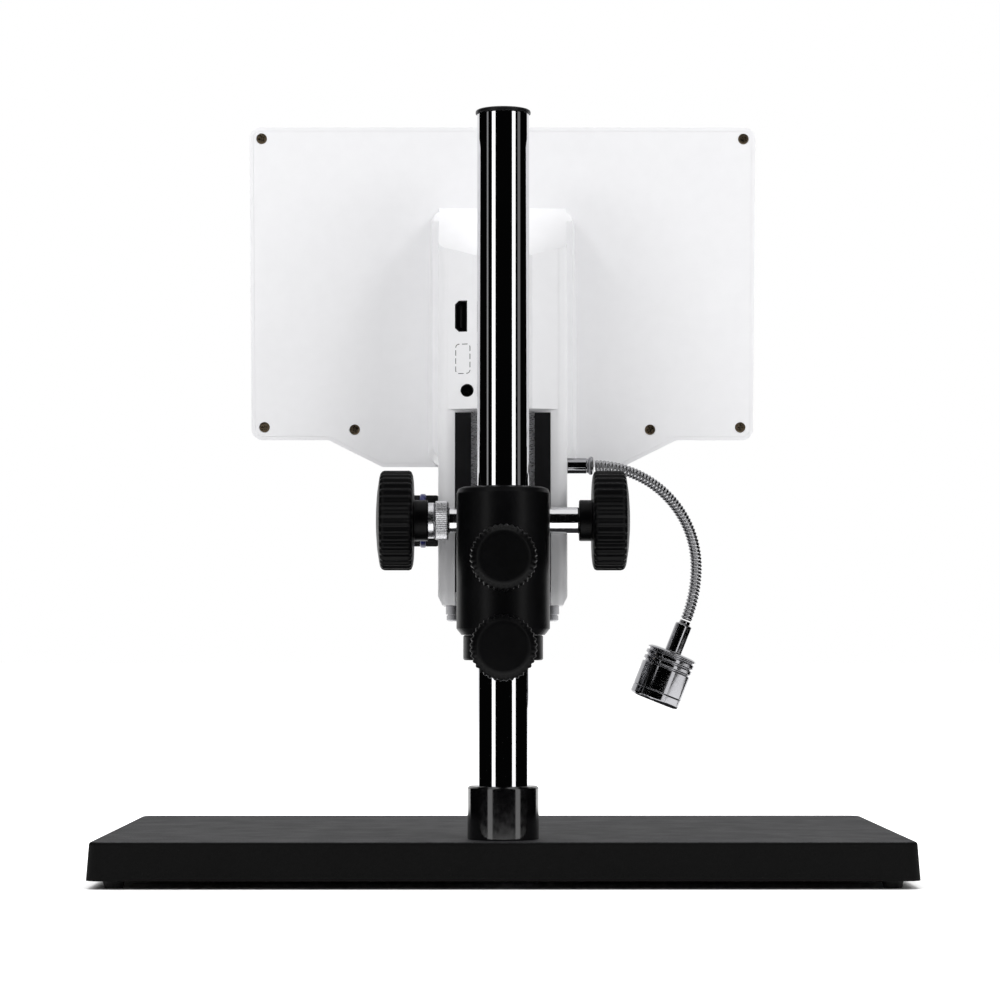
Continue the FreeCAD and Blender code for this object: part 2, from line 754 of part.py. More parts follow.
def shaft_collar():
    start = shaft_end(collar_start())
    radius = SHAFT_COLLAR_DIAMETER / 2
    ring = turned([
        (SHAFT_RADIUS + SEAT_GAP, 0),
        (radius - 0.4, 0),
        (radius, 0.4),
        (radius, SHAFT_COLLAR_WIDTH),
        (SHAFT_RADIUS + SEAT_GAP, SHAFT_COLLAR_WIDTH),
    ], start, V(1, 0, 0))
    middle = start + V(SHAFT_COLLAR_WIDTH / 2, 0, 0)
    return one(ring.cut(rod(1.0, middle, middle + V(0, radius + 1, 0))))


def involute_point(base_radius, angle):
    x = base_radius * (math.cos(angle) + angle * math.sin(angle))
    y = base_radius * (math.sin(angle) - angle * math.cos(angle))
    return x, y


def pinion():
    """Involute teeth; one of them points at the rack."""
    pressure = math.radians(PRESSURE_ANGLE)
    base_radius = PITCH_RADIUS * math.cos(pressure)
    tip = PITCH_RADIUS + GEAR_MODULE
    root = PITCH_RADIUS - PINION_DEDENDUM
    thickness = math.pi * GEAR_MODULE / 2 - BACKLASH / 2
    involute = math.tan(pressure) - pressure
    half_at_base = thickness / 2 / PITCH_RADIUS + involute
    last = math.sqrt((tip / base_radius) ** 2 - 1)
    flank = []
    for i in range(5):
        x, y = involute_point(base_radius, last * i / 4)
        radius = math.hypot(x, y)
        flank.append((radius, half_at_base - math.atan2(y, x)))
    step = 2 * math.pi / PINION_TEETH
    edges = []
    for tooth in range(PINION_TEETH):
        middle = -math.pi / 2 + tooth * step
        def at(radius, angle):
            return V(radius * math.cos(middle + angle), radius * math.sin(middle + angle), 0)
        rising = [at(radius, -angle) for radius, angle in flank]
        falling = [at(radius, angle) for radius, angle in reversed(flank)]
        foot = at(root, -half_at_base)
        edges.append(Part.makeLine(foot, rising[0]))
        curve = Part.BSplineCurve()
        curve.interpolate(rising)
        edges.append(curve.toShape())
        edges.append(Part.Arc(rising[-1], at(tip, 0), falling[0]).toShape())
        curve = Part.BSplineCurve()
        curve.interpolate(falling)
        edges.append(curve.toShape())
        edges.append(Part.makeLine(falling[-1], at(root, half_at_base)))
        valley = at(root, step / 2)
        edges.append(Part.Arc(at(root, half_at_base), valley, at(root, step - half_at_base)).toShape())
    gear = Part.Face(Part.Wire(edges)).extrude(V(0, 0, PINION_WIDTH))
    gear = gear.cut(rod(SHAFT_RADIUS + SEAT_GAP, V(0, 0, 0), V(0, 0, PINION_WIDTH)))
    # The gear is drawn in x and y; x goes to +Z's place and y stays, so its axis lies along X.
    turn = FreeCAD.Rotation(V(0, 1, 0), 90)
    return placed(gear, FreeCAD.Placement(shaft_end(-PINION_WIDTH / 2), turn))


def rack():
    """Straight teeth that face the pinion, with a gap level with its axis."""
    pitch = math.pi * GEAR_MODULE
    slope = math.tan(math.radians(PRESSURE_ANGLE))
    tip_y = RACK_PITCH_Y + RACK_ADDENDUM
    root_y = RACK_PITCH_Y - RACK_DEDENDUM
    half_pitch = (pitch / 2 - BACKLASH / 2) / 2
    half_tip = half_pitch - RACK_ADDENDUM * slope
    half_root = half_pitch + RACK_DEDENDUM * slope
    back_y = root_y - RACK_BACK + RACK_DEDENDUM
    points = [V(0, back_y, PLATE_BOTTOM)]
    first = math.ceil((PLATE_BOTTOM - SHAFT_Z + half_root) / pitch - 0.5)
    last = math.floor((PLATE_TOP - SHAFT_Z - half_root) / pitch - 0.5)
    points.append(V(0, root_y, PLATE_BOTTOM))
    for tooth in range(first, last + 1):
        z = SHAFT_Z + (tooth + 0.5) * pitch
        points.append(V(0, root_y, z - half_root))
        points.append(V(0, tip_y, z - half_tip))
        points.append(V(0, tip_y, z + half_tip))
        points.append(V(0, root_y, z + half_root))
    points.append(V(0, root_y, PLATE_TOP))
    points.append(V(0, back_y, PLATE_TOP))
    points.append(points[0])
    bar = Part.Face(Part.makePolygon(points)).extrude(V(RACK_WIDTH, 0, 0))
    bar.translate(V(-RACK_WIDTH / 2, 0, 0))
    return bar


def rack_back_y():
    return RACK_PITCH_Y - RACK_BACK


def hand_wheel(side):
    """A fluted wheel with a domed face and a hub."""
    radius = WHEEL_DIAMETER / 2
    start = wheel_start(side)
    outer = WHEEL_INNER_X + WHEEL_RIM
    bore = SHAFT_RADIUS + SEAT_GAP
    blind = shaft_reach() + 0.2
    rim = fluted((
        (radius - 4.0, 0, WHEEL_INNER_X - 0.9),
        (radius - 0.9, 0, WHEEL_INNER_X - 0.5),
        (radius, WHEEL_FLUTE_DEPTH, WHEEL_INNER_X + 0.9),
        (radius, WHEEL_FLUTE_DEPTH, outer - 1.4),
        (radius - 1.8, 0, outer),
    ), WHEEL_FLUTES)
    crown_radius = (radius - 1.8) * math.cos(math.pi / 2 / WHEEL_FLUTES)
    core = turned([
        (0, start),
        (WHEEL_HUB_RADIUS, start),
        (WHEEL_HUB_RADIUS, outer - 1),
        (crown_radius, outer - 1),
        (crown_radius, outer),
        *dome(crown_radius, outer, outer + WHEEL_DOME),
    ], V(0, 0, 0), V(0, 0, 1))
    bore_end = rod(bore, V(0, 0, start - 1), V(0, 0, blind))
    wheel = rim.fuse(core).cut(bore_end)
    return one(placed(wheel, facing(shaft_end(0), V(side, 0, 0))))


# Slide on the head

def slide_plate():
    half = PLATE_WIDTH / 2
    plate = box(-half, half, PLATE_SEAT_Y, PLATE_REAR_Y, PLATE_BOTTOM, PLATE_TOP)
    return one(plate.cut(slide_screw_set(SEAT_GAP)))


def dovetail_slide():
    solid = upright(dovetail_section(0, DOVETAIL_REAR_Y), PLATE_BOTTOM, PLATE_TOP)
    half = RACK_WIDTH / 2 + SEAT_GAP
    slot = box(-half, half, rack_back_y(), DOVETAIL_REAR_Y + 1, PLATE_BOTTOM - 1, PLATE_TOP + 1)
    return one(solid.cut(slot).cut(slide_screw_set(SEAT_GAP)))


def slide_screw_set(grow):
    """Four screws from inside the column through the plate into the dovetail."""
    shapes = []
    inner = PLATE_SEAT_Y - SHELL_WALL
    end = PLATE_REAR_Y + 1.6
    for x in (-8.0, 8.0):
        for z in (PLATE_BOTTOM + 10.0, PLATE_TOP - 10.0):
            head = rod(2.75 + grow, V(x, inner - 2.0, z), V(x, inner, z))
            shank = rod(1.5 + grow, V(x, inner, z), V(x, end + grow, z))
            shapes.append(one(head.fuse(shank)))
    return Part.makeCompound(shapes)


# The head's outline in its own tilted plane

def head_outline(inset):
    """The screen casing's outline, drawn in by inset, with its rounded corners."""
    slope = math.hypot(TONGUE_ROOT_HALF - TONGUE_HALF, HEAD_DOWN - TONGUE_DOWN)
    lean = (TONGUE_ROOT_HALF - TONGUE_HALF) / (HEAD_DOWN - TONGUE_DOWN)
    bottom = TONGUE_DOWN + inset
    shoulder = HEAD_DOWN + inset
    shift = inset * slope / (HEAD_DOWN - TONGUE_DOWN)
    foot = TONGUE_HALF + (bottom - TONGUE_DOWN) * lean - shift
    root = TONGUE_ROOT_HALF + (shoulder - HEAD_DOWN) * lean - shift
    half = HEAD_HALF - inset
    outer = max(HEAD_ROUND - inset, 1.0)
    right = [
        (half, HEAD_UP - inset, outer),
        (half, shoulder, outer),
        (root, shoulder, TONGUE_ROUND + inset),
        (foot, bottom, max(TONGUE_ROUND - inset, 1.0)),
    ]
    left = [(-u, v, radius) for u, v, radius in reversed(right)]
    return right + left


def head_slab(corners, rear, front):
    """A plate in the head's plane between two depths; negative depths lie to the front."""
    return placed(level(corners, rear, front), HEAD_FRAME)


def head_rod(radius, u, v, rear, front):
    shape = rod(radius, V(u, rear, v), V(u, front, v))
    return placed(shape, HEAD_FRAME)


def screw_places():
    for u, v in SCREW_SPOTS:
        yield (u, v)
        yield (-u, v)


def front_frame():
    front = -HEAD_THICKNESS
    shell = head_slab(head_outline(0), front, 0)
    shell = shell.makeFillet(1.6, [
        edge for edge in shell.Edges
        if all(head_depth(vertex.Point) < front + 0.01 for vertex in edge.Vertexes)])
    seat = head_slab(head_outline(SEAM_INSET), -COVER_THICKNESS, 1)
    pocket = head_slab(head_outline(FRAME_WALL), front + FRAME_FRONT, 0)
    for u, v in screw_places():
        boss = head_rod(SCREW_BOSS_RADIUS, u, v, front + FRAME_FRONT, -COVER_THICKNESS)
        pocket = pocket.cut(boss)
    for u in (-52.0, 52.0):
        pocket = pocket.cut(head_rod(2.5, u, BUTTON_UP, front + FRAME_FRONT, button_board_front()))
    shell = shell.cut(seat).cut(pocket)
    window = rectangle(WINDOW_HALF, WINDOW_DOWN, WINDOW_UP, 1.0)
    shell = shell.cut(head_slab(window, front - 1, front + FRAME_FRONT))
    for u, v in screw_places():
        pilot = head_rod(SCREW_SHANK_RADIUS + SEAT_GAP, u, v, -COVER_THICKNESS - SCREW_LENGTH, 0)
        shell = shell.cut(pilot)
    for u in button_spots():
        hole = head_rod(BUTTON_RADIUS + FACE_GAP, u, BUTTON_UP, front - 1, front + FRAME_FRONT)
        shell = shell.cut(hole)
    return one(shell)


def head_depth(point):
    """How far a point lies behind the head's rear plane; in front is negative."""
    return HEAD_FRAME.inverse().multVec(point).y


def screen_glass():
    rear = -HEAD_THICKNESS + FRAME_FRONT + GLASS_THICKNESS
    corners = rectangle(WINDOW_HALF + GLASS_MARGIN, WINDOW_DOWN - GLASS_MARGIN, WINDOW_UP + GLASS_MARGIN)
    return head_slab(corners, -HEAD_THICKNESS + FRAME_FRONT, rear)


def lcd_panel():
    front = -HEAD_THICKNESS + FRAME_FRONT + GLASS_THICKNESS
    panel = head_slab(rectangle(PANEL_HALF, PANEL_DOWN, PANEL_UP), front, front + PANEL_THICKNESS)
    for u, v in screw_places():
        panel = panel.cut(head_rod(SCREW_BOSS_RADIUS + 0.4, u, v, front - 1, 0))
    return one(panel)


def panel_rear():
    return -HEAD_THICKNESS + FRAME_FRONT + GLASS_THICKNESS + PANEL_THICKNESS


MAIN_BOARD_SPOTS = ((-62.0, -12.0), (62.0, -12.0), (-62.0, 58.0), (62.0, 58.0))
MAIN_BOARD_REAR = -6.4


def main_board():
    """The display board with its chips and edge connectors."""
    front = MAIN_BOARD_REAR - BOARD_THICKNESS
    board = head_slab(rectangle(68.0, -18.0, 64.0), front, MAIN_BOARD_REAR)
    chips = ((-30.0, 10.0, 9.0), (12.0, 24.0, 11.0), (44.0, 40.0, 6.0))
    for u, v, half in chips:
        corners = ((u - half, v - half, 0), (u + half, v - half, 0),
                   (u + half, v + half, 0), (u - half, v + half, 0))
        board = board.fuse(head_slab(corners, MAIN_BOARD_REAR, MAIN_BOARD_REAR + 1.5))
    board = board.fuse(head_slab(
        ((-25.0, -17.0, 0), (25.0, -17.0, 0), (25.0, -12.0, 0), (-25.0, -12.0, 0)),
        front - 2.0, front))
    return one(board)


# Buttons and their board

def button_spots():
    for i in range(BUTTON_COUNT):
        yield (i - (BUTTON_COUNT - 1) / 2) * BUTTON_PITCH


def button(u):
    front = -HEAD_THICKNESS
    flange_front = front + FRAME_FRONT + SEAT_GAP
    outline = [
        (0, front - BUTTON_HEIGHT),
        (BUTTON_RADIUS - 0.6, front - BUTTON_HEIGHT),
        (BUTTON_RADIUS, front - BUTTON_HEIGHT + 0.5),
        (BUTTON_RADIUS, flange_front),
        (BUTTON_RADIUS + 1.0, flange_front),
        (BUTTON_RADIUS + 1.0, flange_front + BUTTON_FLANGE),
        (BUTTON_STEM_RADIUS, flange_front + BUTTON_FLANGE),
        (BUTTON_STEM_RADIUS, flange_front + BUTTON_FLANGE + BUTTON_STEM_LENGTH),
        (0, flange_front + BUTTON_FLANGE + BUTTON_STEM_LENGTH),
    ]
    return placed(turned(outline, V(u, 0, BUTTON_UP), V(0, 1, 0)), HEAD_FRAME)


def switch_front():
    stem_end = -HEAD_THICKNESS + FRAME_FRONT + SEAT_GAP + BUTTON_FLANGE + BUTTON_STEM_LENGTH
    return stem_end + BUTTON_TRAVEL + SEAT_GAP


def button_board_front():
    return switch_front() + SWITCH_HEIGHT


def button_board():
    front = button_board_front()
    half_height = 4.4
    corners = rectangle(56.0, BUTTON_UP - half_height + 1.2, BUTTON_UP + half_height)
    board = head_slab(corners, front, front + BOARD_THICKNESS)
    half = SWITCH_SIZE / 2
    for u in button_spots():
        corners = ((u - half, BUTTON_UP - half, 0), (u + half, BUTTON_UP - half, 0),
                   (u + half, BUTTON_UP + half, 0), (u - half, BUTTON_UP + half, 0))
        board = board.fuse(head_slab(corners, switch_front(), front))
    return one(board)


# Rear cover with the hump and the rear half of the column

def column_section(front_y, rear_y):
    return (
        (-COLUMN_HALF, front_y, 0),
        (COLUMN_HALF, front_y, 0),
        (COLUMN_HALF, rear_y, COLUMN_REAR_ROUND),
        (-COLUMN_HALF, rear_y, COLUMN_REAR_ROUND),
    )


def ridge_section(front_y, draw_in):
    """The column's section where the faceted ridge stands behind it."""
    return (
        (-COLUMN_HALF + draw_in, front_y, 0),
        (COLUMN_HALF - draw_in, front_y, 0),
        (COLUMN_HALF - draw_in, COLUMN_REAR_Y - draw_in, COLUMN_REAR_ROUND - draw_in),
        (RIDGE_FOOT_HALF - draw_in / 2, COLUMN_REAR_Y - draw_in, 0),
        (RIDGE_HALF - draw_in / 3, RIDGE_Y - draw_in, 0),
        (-RIDGE_HALF + draw_in / 3, RIDGE_Y - draw_in, 0),
        (-RIDGE_FOOT_HALF + draw_in / 2, COLUMN_REAR_Y - draw_in, 0),
        (-COLUMN_HALF + draw_in, COLUMN_REAR_Y - draw_in, COLUMN_REAR_ROUND - draw_in),
    )


def column_base_z():
    """Level of the lowest edge of the screen casing, where the two column halves end."""
    return HEAD_FRAME.multVec(V(0, 0, TONGUE_DOWN)).z


def hump_section(y, half, drop, draw_in):
    low = column_base_z() + drop + draw_in
    high = HUMP_TOP - drop - draw_in
    corners = rectangle(half - draw_in, low, high, HUMP_ROUND - draw_in)
    return rounded_wire(corners, lambda p: V(p.x, y, p.y))


def hump(draw_in):
    """The swelling that carries the column up the back of the screen."""
    sections = [
        hump_section(HEAD_Y - BURIED, HUMP_HALF, 0, draw_in),
        hump_section(HEAD_Y - 4.0, HUMP_HALF, 0, draw_in),
        hump_section(HUMP_REAR_Y - draw_in, HUMP_REAR_HALF, 1.5, draw_in),
    ]
    return Part.makeLoft(sections, True, True)


def top_wedge(drop):
    """Everything above the slope that runs from the ridge's top to the hump's top."""
    rear_y = RIDGE_Y
    front_y = HEAD_FRAME.multVec(V(0, 0, (HUMP_TOP - HEAD_Z) / math.cos(math.radians(TILT)))).y
    rise = (HUMP_TOP - RIDGE_TOP) / (rear_y - front_y)
    far = rear_y + 50
    close = front_y - 50
    corners = (
        V(0, far, RIDGE_TOP - (far - rear_y) * rise - drop),
        V(0, close, HUMP_TOP + (front_y - close) * rise - drop),
        V(0, far, BAR),
    )
    wedge = Part.Face(Part.makePolygon([corners[0], corners[1], corners[2], corners[0]]))
    solid = wedge.extrude(V(COLUMN_WIDTH * 2, 0, 0))
    solid.translate(V(-COLUMN_WIDTH, 0, 0))
    return solid


def in_front_of_head(depth):
    """A big block that holds everything in front of a plane parallel to the screen's rear."""
    return placed(box(-BAR, BAR, -BAR, depth, -BAR, BAR), HEAD_FRAME)


def column_chamfers():
    """The cutters for the column's lower side edges."""
    shapes = []
    for side in (-1, 1):
        edge = side * COLUMN_HALF
        face = Part.Face(Part.makePolygon([
            V(edge + side, COLUMN_FRONT_Y - 1, COLUMN_BOTTOM - 1),
            V(edge - side * COLUMN_CHAMFER_X, COLUMN_FRONT_Y - 1, COLUMN_BOTTOM - 1),
            V(edge - side * COLUMN_CHAMFER_X, COLUMN_FRONT_Y - 1, COLUMN_BOTTOM),
            V(edge, COLUMN_FRONT_Y - 1, COLUMN_BOTTOM + COLUMN_CHAMFER_Z),
            V(edge + side, COLUMN_FRONT_Y - 1, COLUMN_BOTTOM + COLUMN_CHAMFER_Z),
            V(edge + side, COLUMN_FRONT_Y - 1, COLUMN_BOTTOM - 1),
        ]))
        shapes.append(face.extrude(V(0, COLUMN_REAR_Y - COLUMN_FRONT_Y + 10, 0)))
    return shapes


def lens_hole():
    return rod(BARREL_RADIUS + SEAT_GAP, V(0, LENS_Y, 0), V(0, LENS_Y, COLUMN_BOTTOM + SHELL_WALL))


def hdmi_outline(grow):
    """The receptacle's mouth: its two corners away from the post are cut off."""
    low = HDMI_Z - HDMI_HEIGHT / 2 - grow
    high = HDMI_Z + HDMI_HEIGHT / 2 + grow
    inner = HDMI_X - HDMI_WIDTH / 2 - grow
    outer = HDMI_X + HDMI_WIDTH / 2 + grow
    cut = HDMI_CHAMFER
    return (
        (inner, low, 0),
        (outer - cut, low, 0),
        (outer, low + cut, 0),
        (outer, high - cut, 0),
        (outer - cut, high, 0),
        (inner, high, 0),
    )


def rear_cover():
    base_z = column_base_z()
    lower = upright(column_section(LENS_Y, COLUMN_REAR_Y), COLUMN_BOTTOM, base_z)
    middle = upright(column_section(HEAD_Y - BURIED, COLUMN_REAR_Y), base_z, RIDGE_BOTTOM)
    ridge = upright(ridge_section(HEAD_Y - BURIED, 0), RIDGE_BOTTOM, HUMP_TOP)
    upper = middle.fuse(ridge).fuse(hump(0))
    upper = upper.cut(top_wedge(0))
    upper = upper.cut(in_front_of_head(0))
    panel = head_slab(head_outline(SEAM_INSET + SEAT_GAP), -COVER_THICKNESS, 0)
    cover = panel.fuse(upper).fuse(lower)
    wall = SHELL_WALL
    inside_low = upright((
        (-COLUMN_HALF + wall, LENS_Y - 1, 0),
        (COLUMN_HALF - wall, LENS_Y - 1, 0),
        (COLUMN_HALF - wall, PLATE_SEAT_Y - wall, 2.0),
        (-COLUMN_HALF + wall, PLATE_SEAT_Y - wall, 2.0),
    ), COLUMN_BOTTOM + wall, RIDGE_BOTTOM + wall)
    inside_low = inside_low.fuse(upright((
        (-COLUMN_HALF + wall, HEAD_Y - BURIED - wall, 0),
        (COLUMN_HALF - wall, HEAD_Y - BURIED - wall, 0),
        (COLUMN_HALF - wall, LENS_Y, 0),
        (-COLUMN_HALF + wall, LENS_Y, 0),
    ), base_z + wall, RIDGE_BOTTOM + wall))
    inside_top = upright(ridge_section(HEAD_Y - BURIED, wall), RIDGE_BOTTOM + wall, HUMP_TOP)
    inside = inside_low.fuse(inside_top).fuse(hump(wall)).cut(top_wedge(wall * 1.6))
    bosses = []
    for x in (-10.0, 10.0):
        for z in (IO_BOARD_BOTTOM + 6.0, IO_BOARD_TOP - 6.0):
            bosses.append(rod(2.5, V(x, IO_BOARD_Y + BOARD_THICKNESS, z), V(x, RIDGE_Y, z)))
    for boss in bosses:
        inside = inside.cut(boss)
    cover = cover.cut(inside)
    for u, v in MAIN_BOARD_SPOTS:
        cover = cover.fuse(head_rod(3.0, u, v, MAIN_BOARD_REAR, -COVER_THICKNESS))
    half = PLATE_WIDTH / 2 + HOLE_GAP
    recess = box(-half, half, PLATE_SEAT_Y, COLUMN_REAR_Y + 1, 0, PLATE_TOP + HOLE_GAP)
    cover = cover.cut(recess).cut(slide_screw_set(SEAT_GAP)).cut(lens_hole())
    for chamfer in column_chamfers():
        cover = cover.cut(chamfer)
    cover = cover.cut(level(hdmi_outline(HOLE_GAP), IO_BOARD_Y + BOARD_THICKNESS, RIDGE_Y + 5))
    cover = cover.cut(rod(
        JACK_BODY_RADIUS + HOLE_GAP,
        V(JACK_X, IO_BOARD_Y + BOARD_THICKNESS, JACK_Z), V(JACK_X, JACK_MOUTH_Y - 1.9, JACK_Z)))
    cover = cover.cut(rod(JACK_RADIUS + HOLE_GAP, V(JACK_X, IO_BOARD_Y, JACK_Z), V(JACK_X, BAR, JACK_Z)))
    cover = cover.cut(rod(FERRULE_STUB_RADIUS + RUN_GAP, V(-BAR, LAMP_Y, LAMP_Z), V(0, LAMP_Y, LAMP_Z)))
    for u, v in screw_places():
        cover = cover.cut(head_rod(SCREW_HEAD_RADIUS + 0.15, u, v, -SCREW_SINK - SCREW_HEAD_HEIGHT, 1))
        cover = cover.cut(head_rod(SCREW_SHANK_RADIUS + SEAT_GAP, u, v, -COVER_THICKNESS - 1, 0))
    return one(cover)


def cover_screws():
    """Cross-head screws, sunk a little below the cover."""
    shapes = []
    top = -SCREW_SINK
    low = top - SCREW_HEAD_HEIGHT
    for u, v in screw_places():
        outline = [
            (0, low - SCREW_LENGTH),
            (SCREW_SHANK_RADIUS, low - SCREW_LENGTH),
            (SCREW_SHANK_RADIUS, low),
            (SCREW_HEAD_RADIUS, low),
            (SCREW_HEAD_RADIUS, top - 0.5),
            (SCREW_HEAD_RADIUS - 0.6, top),
            (0, top),
        ]
        screw = placed(turned(outline, V(u, 0, v), V(0, 1, 0)), HEAD_FRAME)
        for turn in (0, 90):
            arm = Part.makeBox(2.6, 1.0, 0.55, V(-1.3, -0.9, -0.275))
            arm.rotate(V(0, 0, 0), V(0, 1, 0), turn)
            arm.translate(V(u, top, v))
            screw = screw.cut(placed(arm, HEAD_FRAME))
        shapes.append(one(screw))
    return Part.makeCompound(shapes)


def column_front_cover():
    wall = SHELL_WALL
    base_z = column_base_z()
    corners = (
        (COLUMN_HALF, LENS_Y - SEAT_GAP, 0),
        (-COLUMN_HALF, LENS_Y - SEAT_GAP, 0),
        (-COLUMN_HALF, COLUMN_FRONT_Y, COLUMN_FRONT_ROUND),
        (COLUMN_HALF, COLUMN_FRONT_Y, COLUMN_FRONT_ROUND),
    )
    inner = (
        (COLUMN_HALF - wall, LENS_Y + 1, 0),
        (-COLUMN_HALF + wall, LENS_Y + 1, 0),
        (-COLUMN_HALF + wall, COLUMN_FRONT_Y + wall, COLUMN_FRONT_ROUND - wall),
        (COLUMN_HALF - wall, COLUMN_FRONT_Y + wall, COLUMN_FRONT_ROUND - wall),
    )
    cover = upright(corners, COLUMN_BOTTOM, base_z + 10)
    casing = placed(
        box(-BAR, BAR, -COLUMN_DEPTH, COLUMN_DEPTH, TONGUE_DOWN - SEAT_GAP, BAR), HEAD_FRAME)
    cover = cover.cut(casing).cut(box(-BAR, BAR, -BAR, BAR, base_z - SEAT_GAP, BAR))
    cover = cover.cut(upright(inner, COLUMN_BOTTOM + wall, BAR)).cut(lens_hole())
    for chamfer in column_chamfers():
        cover = cover.cut(chamfer)
    cover = cover.cut(rod(DIAL_SHAFT_RADIUS + RUN_GAP, V(0, DIAL_Y, DIAL_Z), V(BAR, DIAL_Y, DIAL_Z)))
    return one(cover)


# Sockets and their board

def io_board():
    half = IO_BOARD_HALF
    return box(-half, half, IO_BOARD_Y, IO_BOARD_Y + BOARD_THICKNESS, IO_BOARD_BOTTOM, IO_BOARD_TOP)


def hdmi_socket():
    board = IO_BOARD_Y + BOARD_THICKNESS
    shell = level(hdmi_outline(0), board, HDMI_MOUTH_Y)
    hollow = level(hdmi_outline(-HDMI_WALL), HDMI_MOUTH_Y - HDMI_DEPTH + 2.0, HDMI_MOUTH_Y + 1)
    tongue = box(
        HDMI_X - HDMI_TONGUE / 2, HDMI_X + HDMI_TONGUE / 2,
        board, HDMI_MOUTH_Y - 2.0, HDMI_Z - 5.4, HDMI_Z + 5.4)
    return one(shell.cut(hollow).fuse(tongue))


def dc_jack():
    board = IO_BOARD_Y + BOARD_THICKNESS
    step = JACK_MOUTH_Y - 2.0
    body = rod(JACK_BODY_RADIUS, V(JACK_X, board, JACK_Z), V(JACK_X, step, JACK_Z))
    nose = rod(JACK_RADIUS + 0.15, V(JACK_X, step, JACK_Z), V(JACK_X, JACK_MOUTH_Y, JACK_Z))
    bore = rod(JACK_RADIUS - 0.25, V(JACK_X, JACK_MOUTH_Y - JACK_DEPTH, JACK_Z), V(JACK_X, BAR, JACK_Z))
    pin = rod(JACK_PIN_RADIUS, V(JACK_X, board, JACK_Z), V(JACK_X, JACK_MOUTH_Y - 5.0, JACK_Z))
    return one(body.fuse(nose).cut(bore).fuse(pin))


# Lens

def lens_ring():
    radius = LENS_RING_DIAMETER / 2
    low = COLUMN_BOTTOM - LENS_RING_HEIGHT
    step = low + LENS_LIP_HEIGHT
    groove_top = step + LENS_GROOVE
    bore = BARREL_RADIUS + SEAT_GAP
    return turned([
        (LENS_MOUTH_RADIUS, low + 0.8),
        (LENS_MOUTH_RADIUS + 0.8, low),
        (radius - 1.2, low),
        (radius - 0.4, low + 0.6),
        (radius - 0.4, step),
        (radius - 1.0, step),
        (radius - 1.0, groove_top),
        (radius, groove_top),
        (radius, COLUMN_BOTTOM),
        (bore, COLUMN_BOTTOM),
        (bore, step),
        (LENS_MOUTH_RADIUS, step),
    ], V(0, LENS_Y, 0), V(0, 0, 1))


def barrel_bottom():
    return COLUMN_BOTTOM - LENS_RING_HEIGHT + LENS_LIP_HEIGHT


def lens_barrel():
    inner = BARREL_RADIUS - BARREL_WALL
    low = barrel_bottom()
    return turned([
        (inner, low),
        (BARREL_RADIUS, low),
        (BARREL_RADIUS, BARREL_TOP),
        (LENS_MOUTH_RADIUS - 9.0, BARREL_TOP),
        (LENS_MOUTH_RADIUS - 9.0, BARREL_TOP - 2.0),
        (inner, BARREL_TOP - 2.0),
    ], V(0, LENS_Y, 0), V(0, 0, 1))


def front_lens():
    radius = BARREL_RADIUS - BARREL_WALL - SEAT_GAP
    low = barrel_bottom() + SEAT_GAP
    return turned([
        (0, low + LENS_GLASS_THICKNESS),
        (radius, low + LENS_GLASS_THICKNESS),
        (radius, low),
        (LENS_MOUTH_RADIUS - 1.0, low),
        *dome(LENS_MOUTH_RADIUS - 1.0, low, low - 0.9),
    ], V(0, LENS_Y, 0), V(0, 0, 1))


def rear_lens():
    radius = BARREL_RADIUS - BARREL_WALL - SEAT_GAP
    low = (barrel_bottom() + BARREL_TOP) / 2
    return turned([
        (0, low - 2.0),
        (radius, low),
        (radius, low + 3.0),
        *dome(radius, low + 3.0, low + 6.0),
    ], V(0, LENS_Y, 0), V(0, 0, 1))


def sensor_board():
    half = SENSOR_BOARD / 2
    board = box(-half, half, LENS_Y - half, LENS_Y + half, BARREL_TOP, BARREL_TOP + BOARD_THICKNESS)
    chip = box(-5.0, 5.0, LENS_Y - 4.0, LENS_Y + 4.0, BARREL_TOP - 1.0, BARREL_TOP)
    return one(board.fuse(chip))


# Dial

def dial_wheel():
    """A knurled wheel with a place for its coloured band."""
    start = COLUMN_HALF + 3 * FACE_GAP
    radius = DIAL_DIAMETER / 2
    wheel = fluted((
        (radius - 0.8, 0, 0),
        (radius, 0.35, 0.8),
        (radius, 0.35, DIAL_WIDTH - 1.5),
        (radius - 0.5, 0, DIAL_WIDTH - 0.5),
        (radius - 1.5, 0, DIAL_WIDTH),
    ), DIAL_FLUTES)
    centre = V(start, DIAL_Y, DIAL_Z)
    wheel = placed(wheel, facing(centre, V(1, 0, 0)))
    seat = centre + V(DIAL_BAND_OFFSET, 0, 0)
    groove_end = seat + V(DIAL_BAND_WIDTH, 0, 0)
    groove = rod(DIAL_BAND_DIAMETER, seat, groove_end).cut(rod(radius - 1.0, seat, groove_end))
    bore_end = centre + V(DIAL_WIDTH - 3.0, 0, 0)
    bore = rod(DIAL_SHAFT_RADIUS + SEAT_GAP, centre - V(1, 0, 0), bore_end)
    return one(wheel.cut(groove).cut(bore))


def dial_band():
    seat = V(COLUMN_HALF + 3 * FACE_GAP + DIAL_BAND_OFFSET, DIAL_Y, DIAL_Z)
    radius = DIAL_BAND_DIAMETER / 2
    return turned([
        (DIAL_DIAMETER / 2 - 1.0 + SEAT_GAP, 0),
        (radius - 0.5, 0),
        (radius, DIAL_BAND_WIDTH / 2),
        (radius - 0.5, DIAL_BAND_WIDTH),
        (DIAL_DIAMETER / 2 - 1.0 + SEAT_GAP, DIAL_BAND_WIDTH),
    ], seat, V(1, 0, 0))


